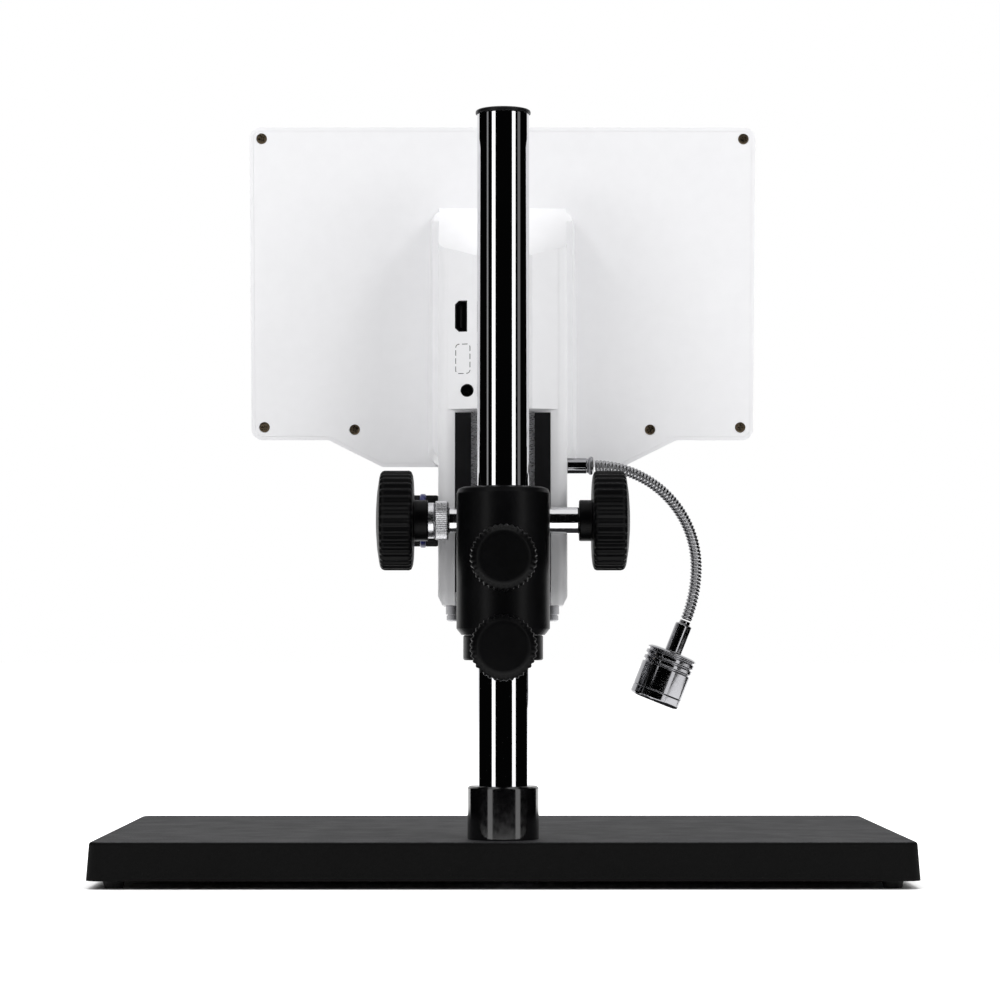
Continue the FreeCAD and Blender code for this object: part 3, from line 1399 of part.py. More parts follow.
def dial_shaft():
    outer = COLUMN_HALF + 3 * FACE_GAP + DIAL_WIDTH - 3.0
    inner = COLUMN_HALF - SHELL_WALL
    shaft = rod(DIAL_SHAFT_RADIUS, V(inner - 3.0, DIAL_Y, DIAL_Z), V(outer, DIAL_Y, DIAL_Z))
    clip = rod(
        CLIP_RADIUS,
        V(inner - FACE_GAP - CLIP_THICKNESS, DIAL_Y, DIAL_Z), V(inner - FACE_GAP, DIAL_Y, DIAL_Z))
    return one(shaft.fuse(clip))


# Lamp: ferrule, ribbed gooseneck and head, all in the plane y = LAMP_Y

def neck_start():
    return V(-COLUMN_HALF - FERRULE_LENGTH, LAMP_Y, LAMP_Z)


def link_arc(link):
    """A link's bend: its centre, radius, first angle and sweep, counted from level outwards."""
    start = neck_start()
    first_centre = start - V(0, 0, NECK_BEND_RADIUS)
    if link < NECK_LINKS - 1:
        sweep = 90.0 / (NECK_LINKS - 1)
        return first_centre, NECK_BEND_RADIUS, link * sweep, sweep
    last_centre = first_centre + V(NECK_LAST_RADIUS - NECK_BEND_RADIUS, 0, 0)
    return last_centre, NECK_LAST_RADIUS, 90.0, NECK_LAST_ANGLE


def arc_point(centre, radius, angle):
    """Point and heading on a bend; angle 0 heads to -X and 90 heads down."""
    turn = math.radians(angle)
    point = centre + V(-radius * math.sin(turn), 0, radius * math.cos(turn))
    heading = V(-math.cos(turn), 0, -math.sin(turn))
    return point, heading


def ring_at(point, heading, radius):
    circle = Part.Circle(point, heading, radius)
    circle.XAxis = V(0, 1, 0)
    return Part.Wire([circle.toShape()])


def neck_joint(index):
    """Pivot and heading of a gooseneck joint; the last one carries the lamp's head."""
    if index < NECK_LINKS:
        centre, radius, first, sweep = link_arc(index)
        return arc_point(centre, radius, first)
    centre, radius, first, sweep = link_arc(NECK_LINKS - 1)
    return arc_point(centre, radius, first + sweep)


def ball_end(index):
    """The rounded end of what follows a joint: half a ball that reaches back into the cup."""
    point, heading = neck_joint(index)
    return Part.makeSphere(NECK_RADIUS - NECK_GROOVE / 2, point)


def cup_cut(index):
    point, heading = neck_joint(index)
    return Part.makeSphere(NECK_RADIUS - NECK_GROOVE / 2 + BALL_GAP, point)


def neck_trim(index):
    """Clears the space round a joint in the piece before it, so that it can bend."""
    point, heading = neck_joint(index)
    return rod(2 * NECK_RADIUS, point - heading * 0.9, point + heading * 6)


def neck_link(link):
    """A stretch of ribbed hose: 4 circles for each rib, a ball end, a cup end and a bore."""
    centre, radius, first, sweep = link_arc(link)
    pitch = sweep / NECK_RIBS_PER_LINK
    rings = []
    low = NECK_RADIUS - NECK_GROOVE
    marks = ((0.0, low), (0.2, NECK_RADIUS), (0.6, NECK_RADIUS), (0.8, low))
    for rib in range(NECK_RIBS_PER_LINK):
        for share, ring_radius in marks:
            point, heading = arc_point(centre, radius, first + (rib + share) * pitch)
            rings.append(ring_at(point, heading, ring_radius))
    point, heading = arc_point(centre, radius, first + sweep)
    rings.append(ring_at(point, heading, low))
    hose = Part.makeLoft(rings, True, True)
    hose = hose.fuse(ball_end(link))
    hose = hose.cut(neck_trim(link + 1)).cut(cup_cut(link + 1))
    start, heading = arc_point(centre, radius, first)
    section = Part.Face(ring_at(start, heading, NECK_BORE_RADIUS))
    bore = section.revolve(centre, V(0, 1, 0), -sweep)
    hose = hose.cut(bore)
    hose = hose.cut(rod(NECK_BORE_RADIUS, start - heading * 2 * NECK_RADIUS, start))
    return one(hose)


def lamp_ferrule():
    """The chrome connector on the column's side, with a cup for the first ball."""
    start = neck_start()
    radius = FERRULE_DIAMETER / 2
    side = -COLUMN_HALF - FACE_GAP
    end = start.x + 0.9
    length = side - end
    shell = turned([
        (0, 0),
        (radius - FERRULE_ROOT_CHAMFER, 0),
        (radius, FERRULE_ROOT_CHAMFER),
        (radius, length - 3.4),
        (radius - 0.3, length - 3.2),
        (radius - 0.3, length - 2.6),
        (radius + 0.5, length - 2.0),
        (radius + 0.8, length - 0.9),
        (radius - 0.2, length),
        (0, length),
    ], V(side, LAMP_Y, LAMP_Z), V(-1, 0, 0))
    stub = rod(
        FERRULE_STUB_RADIUS,
        V(side, LAMP_Y, LAMP_Z), V(-COLUMN_HALF + SHELL_WALL + 4.0, LAMP_Y, LAMP_Z))
    bore = rod(NECK_BORE_RADIUS, V(0, LAMP_Y, LAMP_Z), start - V(5, 0, 0))
    return one(shell.fuse(stub).cut(cup_cut(0)).cut(bore))


def ferrule_nut():
    inner = -COLUMN_HALF + SHELL_WALL + FACE_GAP
    nut = rod(CLIP_RADIUS, V(inner, LAMP_Y, LAMP_Z), V(inner + 2.5, LAMP_Y, LAMP_Z))
    bore = rod(FERRULE_STUB_RADIUS + SEAT_GAP, V(inner - 1, LAMP_Y, LAMP_Z), V(inner + 4, LAMP_Y, LAMP_Z))
    return one(nut.cut(bore))


def lamp_turned(profile):
    point, heading = neck_joint(NECK_LINKS)
    return turned(profile, point, heading)


def lamp_start():
    return SLEEVE_START + SLEEVE_LENGTH


def lamp_sleeve():
    """The smooth neck of the lamp's head, with the last ball."""
    radius = SLEEVE_DIAMETER / 2
    end = lamp_start()
    hose = NECK_RADIUS - NECK_GROOVE / 2
    sleeve = lamp_turned([
        (0, 0),
        (hose, 0),
        (hose, SLEEVE_START),
        (radius - 0.6, SLEEVE_START),
        (radius, SLEEVE_START + 0.6),
        (radius, end + LAMP_WALL),
        (0, end + LAMP_WALL),
    ])
    point, heading = neck_joint(NECK_LINKS)
    bore = rod(NECK_BORE_RADIUS, point - heading * 6, point + heading * (end + 6))
    return one(sleeve.fuse(ball_end(NECK_LINKS)).cut(bore))


def bezel_start():
    return lamp_start() + LAMP_LENGTH - LAMP_BEZEL


def lamp_housing():
    """The finned body of the lamp, open at its lower end."""
    radius = LAMP_DIAMETER / 2
    start = lamp_start()
    bore = SLEEVE_DIAMETER / 2 + SEAT_GAP
    profile = [(bore, start), (radius - 1.2, start), (radius, start + 0.8)]
    for i in range(3):
        low = start + LAMP_GROOVE_PITCH * (i + 0.5)
        profile.append((radius, low))
        profile.append((radius - LAMP_GROOVE_DEPTH, low + 0.5))
        profile.append((radius - LAMP_GROOVE_DEPTH, low + 1.0))
        profile.append((radius, low + 1.5))
    end = bezel_start()
    inner = radius - LAMP_WALL
    profile.append((radius, end))
    profile.append((inner, end))
    profile.append((inner, start + LAMP_WALL + 4.0))
    profile.append((bore, start + LAMP_WALL + 4.0))
    return lamp_turned(profile)


def lamp_bezel():
    radius = LAMP_DIAMETER / 2
    start = bezel_start()
    end = start + LAMP_BEZEL
    spigot = radius - LAMP_WALL - SEAT_GAP
    return lamp_turned([
        (LAMP_MOUTH_RADIUS, start - 3.0),
        (spigot, start - 3.0),
        (spigot, start),
        (radius - 0.5, start),
        (radius, start + 0.4),
        (radius, end - 1.2),
        (radius - 0.35, end - 0.35),
        (radius - 1.2, end),
        (LAMP_MOUTH_RADIUS, end - 0.8),
    ])


def lamp_lens():
    end = bezel_start() + LAMP_BEZEL
    radius = LAMP_MOUTH_RADIUS - SEAT_GAP
    return lamp_turned([
        (0, end - 4.0),
        (radius, end - 4.0),
        (radius, end - 2.0),
        *dome(radius, end - 2.0, end - 0.8),
    ])


def lamp_led_board():
    end = bezel_start()
    radius = LAMP_DIAMETER / 2 - LAMP_WALL - SEAT_GAP
    board = lamp_turned([(0, end - 4.6), (radius, end - 4.6), (radius, end - 3.0), (0, end - 3.0)])
    led = lamp_turned([(0, end - 3.0), (2.5, end - 3.0), (2.5, end - 2.4), (1.8, end - 1.7), (0, end - 1.7)])
    return one(board.fuse(led))


PARTS = {
    "base_casting": base_casting,
    "feet": feet,
    "foot_screws": foot_screws,
    "post_socket": post_socket,
    "post_tube": post_tube,
    "post_plug": post_plug,
    "post_bolt": post_bolt,
    "post_cap": post_cap,
    "stop_collar": stop_collar,
    "collar_knob": lambda: clamp_knob(COLLAR_DIAMETER / 2, collar_z()),
    "collar_stud": lambda: clamp_stud(COLLAR_DIAMETER / 2, collar_z()),
    "focus_arm": focus_arm,
    "arm_knob": lambda: clamp_knob(ARM_DIAMETER / 2, ARM_BOTTOM + ARM_KNOB_RISE),
    "arm_stud": lambda: clamp_stud(ARM_DIAMETER / 2, ARM_BOTTOM + ARM_KNOB_RISE),
    "left_bush": left_bush,
    "right_bush": right_bush,
    "tension_ring": tension_ring,
    "pinion_shaft": pinion_shaft,
    "pinion": pinion,
    "shaft_collar": shaft_collar,
    "focus_wheel_left": lambda: hand_wheel(-1),
    "focus_wheel_right": lambda: hand_wheel(1),
    "slide_plate": slide_plate,
    "dovetail_slide": dovetail_slide,
    "focus_rack": rack,
    "slide_screws": lambda: slide_screw_set(0),
    "rear_cover": rear_cover,
    "cover_screws": cover_screws,
    "column_front_cover": column_front_cover,
    "front_frame": front_frame,
    "screen_glass": screen_glass,
    "lcd_panel": lcd_panel,
    "main_board": main_board,
    "button_board": button_board,
    "io_board": io_board,
    "hdmi_socket": hdmi_socket,
    "dc_jack": dc_jack,
    "lens_ring": lens_ring,
    "lens_barrel": lens_barrel,
    "lens_elements": lambda: Part.makeCompound([front_lens(), rear_lens()]),
    "sensor_board": sensor_board,
    "dial_wheel": dial_wheel,
    "dial_band": dial_band,
    "dial_shaft": dial_shaft,
    "lamp_ferrule": lamp_ferrule,
    "ferrule_nut": ferrule_nut,
    "lamp_sleeve": lamp_sleeve,
    "lamp_housing": lamp_housing,
    "lamp_bezel": lamp_bezel,
    "lamp_lens": lamp_lens,
    "lamp_led_board": lamp_led_board,
}

for number, across in enumerate(button_spots()):
    PARTS["button_%d" % (number + 1)] = lambda across=across: button(across)
for number in range(NECK_LINKS):
    PARTS["neck_link_%d" % (number + 1)] = lambda number=number: neck_link(number)

os.makedirs("parts", exist_ok=True)
for name, make in PARTS.items():
    shape = make()
    shape.exportStep("parts/%s.step" % name)
    print(name, len(shape.Solids), round(shape.Volume, 1), shape.isValid())
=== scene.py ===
import json
import math

import bmesh
import bpy
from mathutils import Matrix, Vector
from mathutils.bvhtree import BVHTree


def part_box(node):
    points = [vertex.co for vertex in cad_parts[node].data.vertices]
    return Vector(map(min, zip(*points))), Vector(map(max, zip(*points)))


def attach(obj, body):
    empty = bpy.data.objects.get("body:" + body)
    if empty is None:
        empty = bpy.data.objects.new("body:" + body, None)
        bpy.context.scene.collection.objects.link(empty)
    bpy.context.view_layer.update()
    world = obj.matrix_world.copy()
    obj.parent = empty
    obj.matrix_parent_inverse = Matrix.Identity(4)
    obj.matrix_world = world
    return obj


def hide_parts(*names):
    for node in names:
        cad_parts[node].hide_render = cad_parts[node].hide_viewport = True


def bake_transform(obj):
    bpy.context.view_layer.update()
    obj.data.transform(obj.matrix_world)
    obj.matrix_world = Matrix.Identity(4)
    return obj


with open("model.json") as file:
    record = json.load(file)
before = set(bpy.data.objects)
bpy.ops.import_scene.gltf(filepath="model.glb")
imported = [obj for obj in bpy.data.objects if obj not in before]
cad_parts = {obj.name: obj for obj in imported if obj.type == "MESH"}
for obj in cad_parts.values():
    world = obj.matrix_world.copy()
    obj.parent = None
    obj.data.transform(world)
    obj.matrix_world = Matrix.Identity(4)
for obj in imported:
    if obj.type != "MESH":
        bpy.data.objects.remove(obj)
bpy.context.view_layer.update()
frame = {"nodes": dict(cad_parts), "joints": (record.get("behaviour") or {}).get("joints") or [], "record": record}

# A bench microscope with a screen on its head, seen from behind as in the photograph.
# Metres, Z up, the screen faces -Y. The turned pieces and the hose are drawn again here with
# finer edges, in the places that the frame gives. The casings and the rest keep their meshes.

MM = 0.001
NODES = frame["nodes"]
JOINTS = {joint["name"]: joint for joint in frame["joints"]}
BODY_OF = {
    node: body
    for body, members in frame["record"]["behaviour"]["bodies"].items()
    for node in members
}
SLOT_OF = {part["node"]: part["material_slot"] for part in frame["record"]["subparts"]}

# Places read from the frame
POST_LOW, POST_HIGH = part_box("post_tube")
POST_AXIS = (POST_LOW + POST_HIGH) / 2
POST_RADIUS = (POST_HIGH.x - POST_LOW.x) / 2
SHAFT_LOW, SHAFT_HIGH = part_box("pinion_shaft")
SHAFT_AXIS = (SHAFT_LOW + SHAFT_HIGH) / 2


# Materials

def node_group_start(name):
    material = bpy.data.materials.new(name)
    material.use_nodes = True
    tree = material.node_tree
    tree.nodes.clear()
    output = tree.nodes.new("ShaderNodeOutputMaterial")
    shader = tree.nodes.new("ShaderNodeBsdfPrincipled")
    tree.links.new(shader.outputs["BSDF"], output.inputs["Surface"])
    return material, tree, shader


def ramp_node(tree, source, stops):
    ramp = tree.nodes.new("ShaderNodeValToRGB")
    elements = ramp.color_ramp.elements
    while len(elements) < len(stops):
        elements.new(0.5)
    for element, (place, colour) in zip(elements, stops):
        element.position = place
        element.color = (*colour, 1.0)
    tree.links.new(source, ramp.inputs["Fac"])
    return ramp.outputs["Color"]


def noise_node(tree, scale, detail=3.0, stretch=(1, 1, 1)):
    """Noise in the object's own space, in metres, so that the grain has a real size."""
    place = tree.nodes.new("ShaderNodeTexCoord")
    mapping = tree.nodes.new("ShaderNodeMapping")
    mapping.inputs["Scale"].default_value = stretch
    tree.links.new(place.outputs["Object"], mapping.inputs["Vector"])
    noise = tree.nodes.new("ShaderNodeTexNoise")
    noise.inputs["Scale"].default_value = scale
    noise.inputs["Detail"].default_value = detail
    tree.links.new(mapping.outputs["Vector"], noise.inputs["Vector"])
    return noise.outputs["Fac"]


def bump_node(tree, shader, height, distance):
    bump = tree.nodes.new("ShaderNodeBump")
    bump.inputs["Distance"].default_value = distance
    bump.inputs["Strength"].default_value = 1.0
    tree.links.new(height, bump.inputs["Height"])
    tree.links.new(bump.outputs["Normal"], shader.inputs["Normal"])


def mottled(name, colour, spread, roughness, grain, bump, metallic=0.0, coat=0.0, stretch=(1, 1, 1),
            rough_spread=0.06, specular=0.5):
    """A finish whose colour, gloss and surface vary a little, with a grain of a real size."""
    material, tree, shader = node_group_start(name)
    shader.inputs["Metallic"].default_value = metallic
    shader.inputs["Specular IOR Level"].default_value = specular
    if coat > 0:
        shader.inputs["Coat Weight"].default_value = coat
        shader.inputs["Coat Roughness"].default_value = 0.08
    fine = noise_node(tree, grain, 4.0, stretch)
    broad = noise_node(tree, grain / 14, 2.0, stretch)
    darker = [max(c * (1 - spread), 0) for c in colour]
    lighter = [min(c * (1 + spread), 1) for c in colour]
    tint = ramp_node(tree, broad, ((0.3, darker), (0.7, lighter)))
    tree.links.new(tint, shader.inputs["Base Color"])
    low = max(roughness - rough_spread, 0.02)
    high = roughness + rough_spread
    gloss = ramp_node(tree, fine, ((0.3, [low] * 3), (0.7, [high] * 3)))
    tree.links.new(gloss, shader.inputs["Roughness"])
    if bump > 0:
        bump_node(tree, shader, fine, bump)
    return material


def base_coat_and_painted_light():
    """Rough powder coat, speckled on top, with painted light and shade: the top is paler and the sides near black,
    chosen by which way each face points.
    """
    material, tree, shader = node_group_start("base_coat_and_painted_light")
    speck = noise_node(tree, 1500.0, 2.0)
    broad = noise_node(tree, 60.0, 3.0)
    # Painted light: the paler top colour stands in for light falling on the upward faces; the speckle is the
    # coat's own grain.
    top = ramp_node(tree, speck, ((0.36, (0.018, 0.018, 0.019)), (0.52, (0.031, 0.031, 0.033)),
                                  (0.66, (0.060, 0.060, 0.064))))
    # Painted shade: the near-black colour stands in for shade on the side faces.
    side = ramp_node(tree, broad, ((0.3, (0.0020, 0.0020, 0.0020)), (0.7, (0.0032, 0.0032, 0.0032))))
    geometry = tree.nodes.new("ShaderNodeNewGeometry")
    split = tree.nodes.new("ShaderNodeSeparateXYZ")
    tree.links.new(geometry.outputs["True Normal"], split.inputs["Vector"])
    mix = tree.nodes.new("ShaderNodeMix")
    mix.data_type = "RGBA"
    # Mask from the face's upward direction that switches between the painted lit top and the painted shaded sides.
    painted_top_light_mask = ramp_node(tree, split.outputs["Z"], ((0.75, (0, 0, 0)), (0.97, (1, 1, 1))))
    tree.links.new(painted_top_light_mask, mix.inputs["Factor"])
    tree.links.new(side, mix.inputs["A"])
    tree.links.new(top, mix.inputs["B"])
    tree.links.new(mix.outputs["Result"], shader.inputs["Base Color"])
    gloss = ramp_node(tree, broad, ((0.3, (0.62, 0.62, 0.62)), (0.7, (0.72, 0.72, 0.72))))
    tree.links.new(gloss, shader.inputs["Roughness"])
    shader.inputs["Specular IOR Level"].default_value = 0.1
    bump_node(tree, shader, speck, 0.00012)
    return material


def glass(name, colour, roughness=0.02):
    material, tree, shader = node_group_start(name)
    shader.inputs["Base Color"].default_value = (*colour, 1.0)
    shader.inputs["Transmission Weight"].default_value = 1.0
    shader.inputs["IOR"].default_value = 1.46
    smear = noise_node(tree, 40.0, 2.0)
    gloss = ramp_node(tree, smear, ((0.3, [roughness] * 3), (0.8, [roughness + 0.03] * 3)))
    tree.links.new(gloss, shader.inputs["Roughness"])
    return material


def circuit_board():
    """Green solder mask with a fine pattern of copper tracks under it."""
    material, tree, shader = node_group_start("circuit_board")
    place = tree.nodes.new("ShaderNodeTexCoord")
    brick = tree.nodes.new("ShaderNodeTexBrick")
    brick.inputs["Scale"].default_value = 220.0
    brick.inputs["Color1"].default_value = (0.010, 0.085, 0.030, 1)
    brick.inputs["Color2"].default_value = (0.014, 0.110, 0.040, 1)
    brick.inputs["Mortar"].default_value = (0.030, 0.200, 0.070, 1)
    tree.links.new(place.outputs["Object"], brick.inputs["Vector"])
    tree.links.new(brick.outputs["Color"], shader.inputs["Base Color"])
    shader.inputs["Roughness"].default_value = 0.35
    return material


def metal(name, colour, roughness, grain, stretch=(1, 1, 1), bump=0.0):
    return mottled(name, colour, 0.03, roughness, grain, bump, metallic=1.0, stretch=stretch,
                   rough_spread=roughness * 0.35)


MATERIALS = {
    "base_grey": base_coat_and_painted_light(),
    "rubber_black": mottled("rubber", (0.012, 0.012, 0.012), 0.2, 0.8, 2500, 0.00004),
    "screw_steel": metal("screw_steel", (0.55, 0.55, 0.56), 0.28, 900),
    "steel": metal("turned_steel", (0.58, 0.58, 0.60), 0.22, 600, (1, 12, 12)),
    "black_gloss": mottled("black_gloss", (0.0018, 0.0018, 0.002), 0.2, 0.10, 300, 0.0, specular=0.9,
                           rough_spread=0.03),
    "post_chrome": metal("post_chrome", (0.68, 0.68, 0.70), 0.035, 120, (1, 1, 0.05)),
    "black_plastic": mottled("black_plastic", (0.006, 0.006, 0.0065), 0.2, 0.34, 1800, 0.00002,
                             specular=0.2),
    "arm_black": mottled("arm_black", (0.0018, 0.0018, 0.0021), 0.25, 0.36, 1500, 0.00003,
                         specular=0.15),
    "knob_black": mottled("knob_black", (0.0016, 0.0016, 0.0018), 0.2, 0.40, 1400, 0.00002,
                          specular=0.12),
    "bright_chrome": metal("bright_chrome", (0.74, 0.74, 0.75), 0.13, 200),
    "satin_aluminium": metal("satin_aluminium", (0.72, 0.72, 0.74), 0.30, 700, (1, 1, 6), 0.00001),
    "brass": metal("brass", (0.72, 0.52, 0.22), 0.30, 700),
    "slide_black": mottled("slide_black", (0.009, 0.009, 0.010), 0.15, 0.45, 1500, 0.00001,
                           specular=0.2),
    "white_plastic": mottled("white_plastic", (0.86, 0.86, 0.875), 0.008, 0.34, 2200, 0.000008,
                             rough_spread=0.03),
    "screw_bronze": metal("screw_bronze", (0.21, 0.165, 0.11), 0.30, 900),
    "screen_glass": glass("screen_glass", (0.6, 0.62, 0.65)),
    "panel_black": mottled("panel_black", (0.006, 0.006, 0.008), 0.1, 0.18, 500, 0.0),
    "board_green": circuit_board(),
    "board_white": mottled("board_white", (0.75, 0.75, 0.70), 0.02, 0.4, 1500, 0.0),
    "socket_black": mottled("socket_black", (0.006, 0.006, 0.006), 0.2, 0.35, 1500, 0.0),
    "ring_grey": metal("ring_grey", (0.22, 0.22, 0.235), 0.34, 900, (1, 1, 20)),
    "lens_glass": glass("lens_glass", (0.95, 0.97, 1.0)),
    "band_blue": mottled("band_blue", (0.006, 0.010, 0.115), 0.15, 0.35, 1500, 0.0),
    "button_grey": mottled("button_grey", (0.30, 0.31, 0.33), 0.05, 0.42, 2000, 0.00001),
    "hose_steel": metal("hose_steel", (0.40, 0.40, 0.41), 0.18, 900),
}
LAMP_CHROME = metal("lamp_chrome", (0.34, 0.34, 0.355), 0.12, 200)
LAMP_METAL = ("lamp_sleeve", "lamp_housing", "lamp_bezel", "lamp_ferrule")


def finish_of(node):
    """The lamp's plating is darker than the bushes', though both are the record's bright chrome."""
    return LAMP_CHROME if node in LAMP_METAL else MATERIALS[SLOT_OF[node]]


# Mesh helpers

def new_piece(name, verts, faces, node, body=True):
    """A mesh that stands for a CAD node, rides on its body and takes its finish."""
    mesh = bpy.data.meshes.new(name)
    mesh.from_pydata([tuple(v) for v in verts], [], faces)
    mesh.update()
    work = bmesh.new()
    work.from_mesh(mesh)
    bmesh.ops.recalc_face_normals(work, faces=work.faces)
    work.to_mesh(mesh)
    work.free()
    for polygon in mesh.polygons:
        polygon.use_smooth = True
    piece = bpy.data.objects.new(name, mesh)
    bpy.context.scene.collection.objects.link(piece)
    mesh.materials.append(finish_of(node))
    if body:
        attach(piece, BODY_OF[node])
    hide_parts(node)
    return piece


def frame_along(direction):
    """Two unit vectors square to a direction."""
    axis = Vector(direction).normalized()
    helper = Vector((0, 0, 1)) if abs(axis.z) < 0.9 else Vector((0, 1, 0))
    across = helper.cross(axis).normalized()
    return across, axis.cross(across).normalized(), axis


def softened(profile, size, steps=3):
    """Rounds every corner of a (radius, height) profile, each by at most a third of its runs.

    A point just outside each rounded corner keeps the run beside it flat.
    """
    points = []
    count = len(profile)
    for i, corner in enumerate(profile):
        here = Vector(corner[:2])
        flute = corner[2] if len(corner) > 2 else 0.0
        before = Vector(profile[i - 1][:2]) if i else None
        after = Vector(profile[i + 1][:2]) if i + 1 < count else None
        if before is None or after is None:
            points.append((here.x, here.y, flute))
            continue
        reach = min(size, (before - here).length / 3, (after - here).length / 3)
        back = (before - here).normalized() * reach
        ahead = (after - here).normalized() * reach
        spots = [here + back * 1.4]
        for step in range(steps + 1):
            t = step / steps
            spots.append(here + back * (1 - t) ** 2 + ahead * t ** 2)
        spots.append(here + ahead * 1.4)
        points += [(spot.x, spot.y, flute) for spot in spots]
    return points


def lathe(name, profile, centre, direction, node, segments=96, flutes=0, depth=0.0, round_size=0.3):
    """Turns a profile in millimetres about an axis. Points with a third number have flutes."""
    across, up, axis = frame_along(direction)
    points = softened(profile, round_size)
    verts = []
    rings = []
    for radius, height, flute in points:
        if radius < 1e-6:
            rings.append([len(verts)])
            verts.append(centre + axis * height * MM)
            continue
        ring = []
        for i in range(segments):
            angle = 2 * math.pi * i / segments
            size = radius
            if flute and flutes:
                wave = abs(math.sin(angle * flutes / 2))
                size = radius - depth * flute * (1 - wave ** 1.6)
            ring.append(len(verts))
            verts.append(centre + (across * math.cos(angle) + up * math.sin(angle)) * size * MM
                         + axis * height * MM)
        rings.append(ring)
    faces = []
    for a, b in zip(rings, rings[1:]):
        for i in range(segments):
            j = (i + 1) % segments
            if len(a) == 1 and len(b) == 1:
                break
            if len(a) == 1:
                faces.append((a[0], b[i], b[j]))
            elif len(b) == 1:
                faces.append((a[i], a[j], b[0]))
            else:
                faces.append((a[i], a[j], b[j], b[i]))
    return new_piece(name, verts, faces, node)


def keep_edges(piece, angle=32.0):
    """Keeps edges sharper than an angle crisp, and shades the rest smooth."""
    piece.data.set_sharp_from_angle(angle=math.radians(angle))


# Post, its socket and its cap

def post_pieces():
    low = POST_LOW.z
    centre = Vector((POST_AXIS.x, POST_AXIS.y, 0))
    radius = POST_RADIUS / MM
    bottom = low / MM
    top = POST_HIGH.z / MM
    tube = lathe("post_tube_finish", [
        (radius - 2.5, bottom), (radius - 0.4, bottom), (radius, bottom + 0.4), (radius, bottom + 60),
        (radius, top - 60), (radius, top - 0.3), (radius - 0.3, top), (radius - 2.5, top),
        (radius - 2.5, bottom),
    ], centre, (0, 0, 1), "post_tube", segments=160, round_size=0.12)
    keep_edges(tube)
    socket_low, socket_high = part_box("post_socket")
    outer = (socket_high.x - socket_low.x) / 2 / MM
    low, high = socket_low.z / MM, socket_high.z / MM
    socket = lathe("post_socket_finish", [
        (radius + 0.05, high), (outer - 1.0, high), (outer, high - 1.0), (outer, low + 0.3),
        (outer - 0.3, low), (radius + 0.05, low), (radius + 0.05, high),
    ], centre, (0, 0, 1), "post_socket", segments=128, round_size=0.25)
    keep_edges(socket)
    cap_low, cap_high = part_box("post_cap")
    outer = (cap_high.x - cap_low.x) / 2 / MM
    low, high = cap_low.z / MM, cap_high.z / MM
    cap = lathe("post_cap_finish", [
        (0, low), (radius - 3.3, low), (radius - 2.55, low + 0.8), (radius - 2.55, top), (outer, top),
        (outer, top + 1.1), (outer - 0.25, top + 1.6), (outer - 0.9, top + 1.95),
        (outer * 0.72, high - 0.22), (outer * 0.4, high - 0.06), (0, high),
    ], centre, (0, 0, 1), "post_cap", segments=128, round_size=0.2)
    keep_edges(cap, 40)


# Stop collar and clamp knobs

def collar_piece():
    low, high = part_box("stop_collar")
    outer = (high.x - low.x) / 2 / MM
    bottom, top = low.z / MM, high.z / MM
    bore = POST_RADIUS / MM + 0.05
    ring = lathe("stop_collar_finish", [
        (bore, top), (outer - 0.6, top), (outer, top - 0.6), (outer, bottom + 0.6),
        (outer - 0.6, bottom), (bore, bottom), (bore, top),
    ], Vector((POST_AXIS.x, POST_AXIS.y, 0)), (0, 0, 1), "stop_collar", segments=128, round_size=0.35)
    keep_edges(ring)


def clamp_knob(node):
    low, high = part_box(node)
    outer = (high.z - low.z) / 2 / MM
    centre = Vector(((low.x + high.x) / 2, low.y, (low.z + high.z) / 2))
    length = (high.y - low.y) / MM
    back = length - 14.0
    face = 12.0
    knob = lathe(node + "_finish", [
        (4.05, 0), (5.5, 0), (5.5, back), (outer - 2.2, back), (outer - 0.6, back + 0.5, 1.0),
        (outer, back + 1.6, 1.0), (outer, back + 6.0, 1.0), (outer, length - 4.4, 1.0),
        (outer - 0.5, length - 3.2, 0.9), (outer - 1.6, length - 1.9, 0.25), (face + 0.5, length - 0.35),
        (face - 0.8, length), (0, length),
    ], centre, (0, 1, 0), node, segments=432, flutes=36, depth=0.75, round_size=0.5)
    keep_edges(knob, 50)


# Focus shaft: bushes, tension ring, collar and hand wheels

def along_shaft(node, profile, side, **options):
    """Turns a profile whose heights are distances from the middle of the stand."""
    centre = Vector((0, SHAFT_AXIS.y, SHAFT_AXIS.z))
    return lathe(node + "_finish", profile, centre, (side, 0, 0), node, **options)


